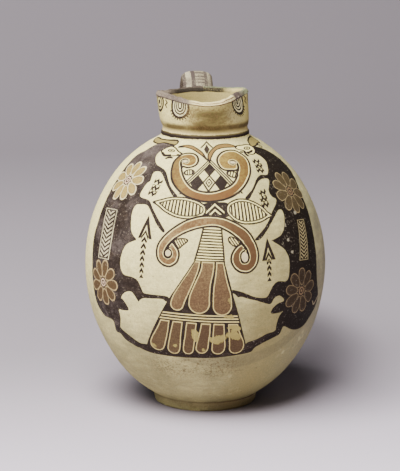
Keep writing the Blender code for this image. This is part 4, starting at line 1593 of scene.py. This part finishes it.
    def lay_checker(self):
        """A diamond net in the loop under a double frame: every second cell dark, a nested one in its middle.

        Rows grow downwards: the net's own height is 0.226 d - 0.0024 d squared, with d the drop from its top.
        """
        s = self.shader
        drop = NET_TOP - self.v + self.hand * 0.25
        down = drop * 0.226 - drop * abs(drop) * 0.0024
        across = (self.u - NET_MIDDLE + drop * 0.15 + self.hand * 0.25) / NET_CELL
        p, q = (down + across) * 0.5, (down - across) * 0.5
        edge = s.least(p, q)
        frame = s.between(edge, -0.55, -0.38, 0.03) + s.between(edge, -0.29, -0.14, 0.03)
        net = s.most(abs(p % 1.0 - 0.5), abs(q % 1.0 - 0.5))
        lines = s.ramp(net, 0.40, 0.44) * s.ramp(edge, -0.08, -0.05)
        cell_p, cell_q = p - p % 1.0, q - q % 1.0
        even = s.under((cell_p + cell_q) % 2.0, 0.5, 0.02)
        nest = s.most(abs(p - 1.5), abs(q - 1.5))
        middle = s.under(nest, 0.5, 0.02)
        dark = even * (1.0 - middle) * s.ramp(edge, -0.02, 0.02)
        rings = middle * (s.between(nest, 0.19, 0.32, 0.02) + s.under(nest, 0.1, 0.02))
        drawn = s.least(frame + lines + dark + rings, 1.0)
        inside = s.ramp(self.v, 235.0, 236.0) * s.under(abs(self.u - LOOP_MIDDLE), 42.0, 0.5)
        s.lay(drawn * inside * s.ramp(s.attribute("loop"), -0.3, 0.3), self.ink)

    def lay_small_motifs(self):
        """Everything small that lies over the tree and the goats."""
        self.lay_lines()
        self.lay_seeds()
        self.lay_eyes()
        self.lay_zigzags()
        self.lay_columns()
        self.lay_apex()

    def lay_seeds(self):
        """Small striped ovals: an outline, and bars across."""
        s = self.shader
        x, y, here = self.motif("seed")
        oval = s.length(x, y) + self.hand * 0.07
        self.lay_bands(oval, [(1.1, self.ink), (0.70, self.cream)], 0.05, here)
        bars = s.between((x + self.hand * 0.05) % 0.46, 0.0, 0.24, 0.04)
        s.lay(bars * s.under(oval, 0.8, 0.05) * here, self.ink)

    def lay_eyes(self):
        """The curls' pale eyes with a dark ring, and the goats' eyes: ring, white and dot."""
        s, c = self.shader, self.settings
        x, y, here = self.motif("volute_eye")
        oval = s.length(x, y) + self.hand * 0.08
        s.lay(s.under(oval, 1.3, 0.06) * here, tone("volute_eye"))
        s.lay(s.between(oval, 0.84, 1.06, 0.06) * s.ramp(self.v, 220.0, 221.0) * here, self.ink)
        x, y, here = self.motif("goat_eye")
        oval = s.length(x, y) + self.hand * 0.06
        self.lay_bands(oval, [(1.18, c.dark), (0.68, self.cream), (0.46, c.dark)], 0.06, here)

    def lay_zigzags(self):
        """Small zigzag marks: a triangle wave with a stroke's thickness."""
        s = self.shader
        x, y, here = self.motif("zigzag")
        wave = abs((x + 20.0 + self.hand * 0.5) % ZIGZAG_STEP - ZIGZAG_STEP / 2) * 1.4 - 1.6
        s.lay(s.under(abs(y - wave), 1.9, 0.3) * s.under(abs(x), 4.7, 0.3) * here, self.settings.dark)

    def lay_columns(self):
        """A tall column of chevrons that shrink downwards, under a larger pair."""
        s = self.shader
        x, y, here = self.motif("column")
        side = abs(x + self.hand * 0.3)
        head = s.between(y - side * 2.75, 0.0, 9.4, 0.4) * s.under(y, 22.5, 0.4)
        steep = y - side * 1.7
        nest = s.between(steep, 13.6, 17.2, 0.3) * s.under(side, 4.2, 0.2)
        width = s.ramp(y, 22.0, 58.0, 3.4, 2.4)
        arrow = s.between((y - 20.0) % ARROW_STEP - side * 1.4, 0.0, 3.9, 0.3) * s.between(y, 19.8, 56.4, 0.2)
        last = s.ramp(y - side * 1.6, 56.4, 57.0) * s.under(y, 61.0, 0.3)
        marks = s.most(s.most(head, nest), s.most(arrow * s.under(side - width, 0.0, 0.3), last))
        s.lay(s.least(marks, 1.0) * here, self.deep_ink(0.65))

    def lay_apex(self):
        """Two small chevrons and the dark diamond where the heart's strokes meet."""
        s = self.shader
        side = abs(self.u - 3.6)
        roof = self.v + side * 0.34
        chevron = s.between(roof, 279.2, 281.0, 0.2) * s.under(side, 15.0, 0.4)
        s.lay(chevron * s.ramp(self.v, 275.0, 275.6), self.ink)
        diamond = abs(self.v - 274.2) * 1.6 + side
        s.lay(s.under(diamond, 6.6, 0.4), self.ink)

    def lay_neck(self):
        """The collar's band, a stained neck, a brown band over the groove, partly dirt and partly painted
        shade, the loops and the painted lip.
        """
        s = self.shader
        outside = s.under(self.zone, LIP + 0.5, 0.02) * s.ramp(self.zone, WALL - 0.5, WALL - 0.48)
        outside = outside * s.ramp(self.v, NECK_LOW, NECK_LOW + 0.5)
        wave = self.v + self.broad * 1.6 + self.fine * 1.2
        s.lay(s.between(wave, COLLAR_BAND[1], 290.0, 0.6) * outside * 0.75, tone("collar_cream"))
        s.lay(s.between(wave, *COLLAR_BAND, 0.3) * outside, self.deep_ink())
        front = s.ramp(self.u, -70.0, -10.0) * s.ramp(self.u, 170.0, 90.0)
        tinge = s.between(self.v, 287.0, 318.0, 3.0) * s.ramp(self.across, -0.05, 0.0, 0.45, 0.8)
        s.lay(tinge * outside, tone("neck_tinge"))
        stain = s.ramp(s.noise(30.0, 3.0, 0.65, (1.0, 1.0, 2.2)), 0.1, 0.6)
        stain = stain * s.between(self.v, 289.0, 314.0, 5.0) * front
        stained = s.mix(s.ramp(self.u, 45.0, 95.0), tone("neck_stain"), tone("right_neck_stain"))
        s.lay(stain * outside, stained)
        # Partly dirt and partly painted shade: a brown band darkens the groove over the collar.
        patch = s.ramp(s.noise(55.0, 3.0, 0.7), 0.36, 0.56, 0.7, 1.0)
        brown = s.between(self.v + self.broad * 1.8, 290.2, 295.6, 1.8)
        s.lay(brown * outside * patch * 0.9, self.clouded("groove", "deep_groove_dirt_and_shade"))
        self.lay_neck_loops(outside)
        spout = s.ramp(self.u, -52.0, -10.0) * s.ramp(self.u, 128.0, 112.0)
        edge = self.v + self.broad * 2.6
        lip = s.ramp(edge, LIP_PAINT - 0.8, LIP_PAINT) * outside
        grey = s.mix(s.ramp(self.grain + self.cloud * 0.8, 0.7, 1.2), tone("lip"), tone("pale_lip"))
        green = self.clouded("lip_green", "deep_lip_green")
        grey = s.mix(s.ramp(self.u, 150.0, 200.0), grey, green)
        s.lay(lip * (1.0 - spout * 0.9), grey)
        rub = s.ramp(s.noise(260.0, 3.0, 0.7), 0.56, 0.68, 0.0, 0.7)
        s.lay(lip * rub * (1.0 - spout), tone("rubbed_lip"))
        cream = s.ramp(edge, LIP_PAINT, LIP_PAINT + 0.6) * outside * spout
        s.lay(cream, self.clouded("spout_cream", "deep_spout_cream"))
        thin = s.between(edge, 317.2, 318.2, 0.25) + s.between(edge, 320.2, 321.1, 0.25)
        s.lay(thin * outside * spout * s.ramp(self.grain, 0.3, 0.5, 0.5, 1.0), tone("spout_line"))

    def lay_neck_loops(self, outside):
        """Nested loops that hang from the lip, as rings of a rounded distance, and nested ovals and bolts."""
        s = self.shader
        under_lip = outside * s.under(self.v, 319.4, 0.5)
        for u, half, straight, radius in NECK_LOOPS:
            x = (self.u - u) / half * radius + self.hand * 0.35
            below = s.most(LIP_LINE - straight - self.v, 0.0)
            round_off = s.length(x, below) / radius
            ring = (1.0 - round_off) * radius
            lines = s.between(ring, -0.5, 2.0, 0.25)
            for line in NECK_LOOP_RINGS:
                lines = lines + s.between(ring, line, line + 1.5, 0.22)
            s.lay(s.under(round_off, 1.0, 0.03) * under_lip, tone("neck_loop_cream"))
            s.lay(lines * under_lip, self.deep_ink())
            turn = s.math("ARCTAN2", x, below)
            dash = s.between(ring, -2.1, -0.5, 0.2) * s.between(turn * 4.2 % 1.0, 0.25, 0.75, 0.1)
            s.lay(dash * s.under(abs(turn), 1.2, 0.1) * under_lip, self.ink)
        for u in NECK_OVALS:
            x, y = (self.u - u) / 21.0, (self.v - 312.6) / 8.2
            oval = s.length(x, y) + self.hand * 0.03
            rings = s.between(oval, 0.80, 1.10, 0.04) + s.between(oval, 0.48, 0.66, 0.04)
            rings = rings + s.under(oval, 0.26, 0.04)
            s.lay(rings * under_lip, self.deep_ink())
        for u, v in NECK_BOLTS:
            x, y = (self.u - u) / 3.1, self.v - v
            bolt = abs(x - s.math("SINE", y * 1.3) * 0.9)
            s.lay(s.under(bolt, 0.95, 0.2) * s.under(abs(y), 3.6, 0.3) * under_lip, self.ink)

    def lay_inside_and_foot(self):
        """The bare hollow, the far rim's dark paint deepened by painted shade, the clay at the foot with
        painted shade on its right and in its crease, and the underside.
        """
        s = self.shader
        not_strap = s.under(self.zone, INSIDE + 0.5, 0.02)
        inside = s.ramp(self.zone, INSIDE - 0.6, INSIDE - 0.4) * not_strap
        s.lay(inside, self.clouded("inner_clay", "deep_inner_clay"))
        rim = s.ramp(self.zone, LIP - 0.1, LIP + 0.1) * not_strap
        rim = rim * s.ramp(self.v + self.broad * 2.0, 316.2, 317.2)
        # Partly the rim's dark paint and partly painted shade: the far rim's inner edge is laid nearly black.
        away = s.ramp(self.back + self.broad * 0.01, 0.026, 0.034)
        left = s.ramp(self.u, -30.0, -60.0)
        worn = s.mix(s.ramp(self.grain + self.cloud, 0.8, 1.2), tone("worn_rim"), tone("pale_worn_rim"))
        s.lay(rim * left, worn)
        s.lay(rim * away * s.ramp(self.grain, 0.3, 0.5, 0.6, 1.0), self.clouded("far_rim_paint_and_shade", "pale_far_rim"))
        # Partly the foot's bare clay and partly painted shade: it shows more on the right side.
        foot = s.under(self.v + self.broad * 3.0, 9.4, 0.8) * self.wall
        s.lay(foot * s.ramp(self.across, -0.04, 0.04, 0.2, 0.6), tone("foot_clay_and_shade"))
        # Painted shade: a dark line in the crease where the foot meets the body, deeper on the right.
        ring = s.between(self.v + self.broad * 2.0, 8.6, 10.6, 0.6) * self.wall
        s.lay(ring * s.ramp(self.across, -0.04, 0.04, 0.35, 0.8), tone("foot_crease_shade"))
        s.lay(s.under(self.zone, UNDERSIDE + 0.5, 0.02), self.clouded("underside", "deep_underside"))

    def lay_strap(self):
        """The handle: a ladder between two dark bands, mottled strips beside them and dark edges."""
        s = self.shader
        strap = s.ramp(self.zone, STRAP - 0.4, STRAP - 0.1)
        x = self.u + self.hand * 0.4
        mottled = s.ramp(self.cloud + self.grain * 0.6, 0.62, 0.95)
        s.lay(strap, s.mix(mottled, tone("strap_slip"), tone("strap_mottle")))
        edges = s.ramp(abs(x), 12.6, 13.4)
        bands = s.between(x, -7.4, -3.2) + s.between(x, 6.4, 9.8)
        bars = s.between((self.v + self.hand * 0.3) % STRAP_BAR_STEP, 0.0, 1.1, 0.25)
        ladder = s.between(x, -3.2, 6.4) * bars
        root = s.under(self.v + self.broad * 5.0, 11.0, 1.0)
        marks = s.least(s.most(s.most(edges, bands), s.most(ladder, root)), 1.0)
        worn = s.ramp(self.grain + self.broad * 0.6, 0.30, 0.48, 0.45, 1.0)
        tired = s.ramp(self.u, 4.0, 14.0, 0.0, 0.4)
        s.lay(marks * strap * worn * (1.0 - tired), self.clouded("strap_ink", "worn_strap_ink"))

    def lay_wear(self):
        """Paint gone in patches and specks, chips on the right goat, spots on the neck and low down."""
        s = self.shader
        worn = self.distance("worn", 1.6) + (s.noise(300.0, 3.0, 0.7) - 0.5) * 6.0
        slip = self.clouded("bared_slip", "deep_bared_slip")
        slip = s.mix(s.ramp(self.u, 60.0, 90.0), slip, tone("right_bared_slip"))
        s.lay(s.under(worn, 0.0, 0.6) * 0.9, slip)
        painted = s.under(self.dark, -0.4)
        specks = s.ramp(s.noise(430.0, 2.0, 0.65), 0.62, 0.70, 0.0, 0.6)
        s.lay(specks * painted * s.ramp(self.u, 60.0, 130.0, 1.0, 0.6), tone("ink_speck"))
        chipped = s.ramp(s.noise(270.0, 3.0, 0.7), 0.56, 0.66, 0.0, 0.6)
        flank = s.between(self.u, 86.0, 110.0, 12.0) * s.between(self.v, 184.0, 222.0, 14.0)
        s.lay(chipped * painted * flank, tone("ink_chip"))
        front_neck = s.between(self.u, -70.0, 110.0, 26.0) * s.between(self.v, 291.0, 317.0, 5.0)
        spots = s.ramp(s.noise(420.0, 3.0, 0.75) + self.cloud * 0.35, 0.67, 0.80)
        s.lay(spots * front_neck * 0.75 * self.wall, tone("neck_spot"))
        low = s.between(self.u, -60.0, 40.0, 30.0) * s.between(self.v, 50.0, 72.0, 8.0)
        s.lay(spots * low * 0.8 * self.wall, tone("low_spot"))

    def finish(self):
        """Roughness and relief: a dry slip with a faint sheen on the paint, grain, wheel rings and pores."""
        s = self.shader
        self.lay_slip()
        self.lay_goats()
        self.lay_rosettes()
        self.lay_panels()
        self.lay_skirt()
        self.lay_trunk()
        self.lay_leaves()
        self.lay_volutes()
        self.lay_small_motifs()
        self.lay_neck()
        self.lay_inside_and_foot()
        self.lay_strap()
        self.lay_wear()
        shade = s.ramp(self.mottle, 0.3, 0.7, 0.86, 1.08)
        tinted = s.node("ShaderNodeVectorMath", {"operation": "SCALE"}, {0: s.colour, "Scale": shade})
        s.feed(s.surface.inputs["Base Color"], tinted.outputs[0])
        s.feed(s.surface.inputs["Roughness"], s.ramp(self.cloud + self.fine, 0.2, 0.9, 0.66, 0.84))
        rings = s.noise(40.0, 3.0, 0.6, (1.0, 1.0, 12.0))
        pits = s.ramp(s.noise(900.0, 2.0, 0.6), 0.25, 0.42)
        relief = rings * 0.5 + self.grain * 0.12 + pits * 0.25 + self.broad * 0.4
        bump = s.node("ShaderNodeBump", None, {"Height": relief, "Distance": 0.0006, "Strength": 0.55})
        s.feed(s.surface.inputs["Normal"], bump.outputs["Normal"])
        s.surface.inputs["Metallic"].default_value = 0.0
        s.surface.inputs["Specular IOR Level"].default_value = 0.14
        return s.material


# Stage


PHOTO_HEIGHT = 471
CAMERA_DISTANCE = 1.9523
CAMERA_PITCH = math.radians(11.982)
CAMERA_TARGET = Vector((0.0, 0.0, 0.17403))
FOCAL_PIXELS = 1880.44
AXIS_OFFSET_PIXELS = 5.2
SENSOR = 36.0


def make_camera():
    """The photograph's own view: a long lens, a little over the jug and to the left of its spout."""
    data = bpy.data.cameras.new("camera")
    data.sensor_fit = "AUTO"
    data.sensor_width = SENSOR
    data.lens = FOCAL_PIXELS / PHOTO_HEIGHT * SENSOR
    data.shift_x = -AXIS_OFFSET_PIXELS / PHOTO_HEIGHT
    camera = bpy.data.objects.new("camera", data)
    bpy.context.scene.collection.objects.link(camera)
    flat = math.cos(CAMERA_PITCH)
    forward = Vector((math.sin(PICTURE_TURN) * flat, math.cos(PICTURE_TURN) * flat, -math.sin(CAMERA_PITCH)))
    camera.location = CAMERA_TARGET - forward * CAMERA_DISTANCE
    camera.rotation_mode = "QUATERNION"
    camera.rotation_quaternion = forward.to_track_quat("-Z", "Y")
    bpy.context.scene.camera = camera
    return camera


# Soft dark ovals of the paper, which deepen the jug's shadow: x, y, half width, half depth and strength.
FLOOR_SHADE = [(-0.005, 0.035, 0.125, 0.12, 0.8), (0.12, 0.24, 0.13, 0.26, 0.65)]


# The paper: its front end and its width, its floor behind the jug, the bend's radius and the top.
PAPER_FRONT = -4.0
PAPER_WIDTH = 6.0
PAPER_RUN = 1.6
PAPER_BEND = 1.1
PAPER_TOP = 2.6

# Where the lights look, their places, sizes and colours, and the sky's colour.
LOOK_AT = (0.0, 0.0, 0.16)
KEY_PLACE = (-0.95, -0.9, 2.35)
KEY_SIZE = 2.2
KEY_COLOUR = (1.0, 0.985, 0.96)
FILL_PLACE = (1.9, -1.4, 0.9)
FILL_SIZE = 1.6
FILL_COLOUR = (0.96, 0.97, 1.0)
SKY_COLOUR = (0.80, 0.79, 0.83, 1.0)


def make_backdrop(colour, front):
    """A floor that curves up into a wall: a straight run, a quarter circle and a straight rise."""
    turn = np.linspace(0, math.pi / 2, 25)[1:]
    floor = np.linspace(PAPER_FRONT, PAPER_RUN, 30)
    wall = np.linspace(PAPER_BEND, PAPER_TOP, 13)[1:]
    back = np.full(len(wall), PAPER_RUN + PAPER_BEND)
    y = np.concatenate([floor, PAPER_RUN + PAPER_BEND * np.sin(turn), back])
    z = np.concatenate([np.zeros(len(floor)), PAPER_BEND * (1 - np.cos(turn)), wall])
    x = np.linspace(-PAPER_WIDTH / 2, PAPER_WIDTH / 2, 40)
    rows, columns = len(y), len(x)
    grid = np.stack([np.broadcast_to(line, (rows, columns)) for line in (x, y[:, None], z[:, None])], axis=-1)
    here = (np.arange(rows - 1)[:, None] * columns + np.arange(columns - 1)).ravel()
    quads = np.stack([here, here + 1, here + columns + 1, here + columns], axis=1)
    backdrop = new_mesh_object("backdrop", grid.reshape(-1, 3), quads, np.zeros((0, 3), int))
    shader = PaintShader("backdrop_paper")
    across, back = shader.object_place()
    # Painted light: the paper is brighter near the camera, where the key light falls, and darker behind.
    near = shader.ramp(back, 0.25, -0.55)
    shader.colour = shader.mix(near, colour, front)
    for x, y, half_wide, half_deep, depth in FLOOR_SHADE:
        away = shader.length((across - x) / half_wide, (back - y) / half_deep)
        shader.lay(shader.ramp(away, 0.35, 1.0, depth, 0.0), tone("paper_shade"))
    shader.feed(shader.surface.inputs["Base Color"], shader.colour)
    shader.surface.inputs["Roughness"].default_value = 0.9
    shader.surface.inputs["Specular IOR Level"].default_value = 0.1
    backdrop.data.materials.append(shader.material)
    return backdrop


def make_light(name, place, target, size, power, colour):
    """A soft square light that faces a point."""
    data = bpy.data.lights.new(name, "AREA")
    data.shape = "SQUARE"
    data.size = size
    data.energy = power
    data.color = colour
    light = bpy.data.objects.new(name, data)
    bpy.context.scene.collection.objects.link(light)
    light.location = place
    light.rotation_mode = "QUATERNION"
    light.rotation_quaternion = (Vector(target) - Vector(place)).to_track_quat("-Z", "Y")
    return light


# Operators


class JUG_OT_make_vessel(bpy.types.Operator):
    """Make the jug: body, foot, neck, lip and handle as one clay piece with its painted finish"""

    bl_idname = "jug.make_vessel"
    bl_label = "Make the jug"
    bl_options = {"REGISTER", "UNDO"}

    def execute(self, context):
        jug = make_jug_mesh(context.scene.jug_surface)
        jug.data.materials.append(JugPaint(context.scene.jug_paint).finish())
        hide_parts("jug")
        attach(jug, "root")
        return {"FINISHED"}


class JUG_OT_make_stage(bpy.types.Operator):
    """Make the plain floor, the soft lights and the camera"""

    bl_idname = "jug.make_stage"
    bl_label = "Make the stage"
    bl_options = {"REGISTER", "UNDO"}

    def execute(self, context):
        stage = context.scene.jug_stage
        make_backdrop(stage.floor, stage.floor_painted_light)
        make_light("key_light", KEY_PLACE, LOOK_AT, KEY_SIZE, stage.key_power, KEY_COLOUR)
        make_light("fill_light", FILL_PLACE, LOOK_AT, FILL_SIZE, stage.fill_power, FILL_COLOUR)
        world = bpy.data.worlds.new("soft_sky")
        world.use_nodes = True
        background = world.node_tree.nodes["Background"]
        background.inputs["Color"].default_value = SKY_COLOUR
        background.inputs["Strength"].default_value = stage.sky_strength
        context.scene.world = world
        make_camera()
        return {"FINISHED"}


class JUG_PT_maker(bpy.types.Panel):
    """Sizes, colours and buttons for the jug"""

    bl_label = "Painted pottery jug"
    bl_space_type = "VIEW_3D"
    bl_region_type = "UI"
    bl_category = "Jug"

    def draw(self, context):
        layout = self.layout
        for owner in (context.scene.jug_surface, context.scene.jug_paint, context.scene.jug_stage):
            for name in owner.bl_rna.properties.keys():
                if name not in ("rna_type", "name"):
                    layout.prop(owner, name)
        layout.operator("jug.make_vessel")
        layout.operator("jug.make_stage")


SETTINGS = {"jug_surface": JugSurfaceSettings, "jug_paint": JugPaintSettings, "jug_stage": JugStageSettings}
CLASSES = (*SETTINGS.values(), JUG_OT_make_vessel, JUG_OT_make_stage, JUG_PT_maker)


def register():
    for item in CLASSES:
        bpy.utils.register_class(item)
    for name, group in SETTINGS.items():
        setattr(bpy.types.Scene, name, bpy.props.PointerProperty(type=group))


def unregister():
    for name in SETTINGS:
        delattr(bpy.types.Scene, name)
    for item in reversed(CLASSES):
        bpy.utils.unregister_class(item)


def main():
    """Registers the classes and makes the jug and its stage."""
    register()
    bpy.ops.jug.make_vessel()
    bpy.ops.jug.make_stage()


if __name__ == "__main__":
    main()
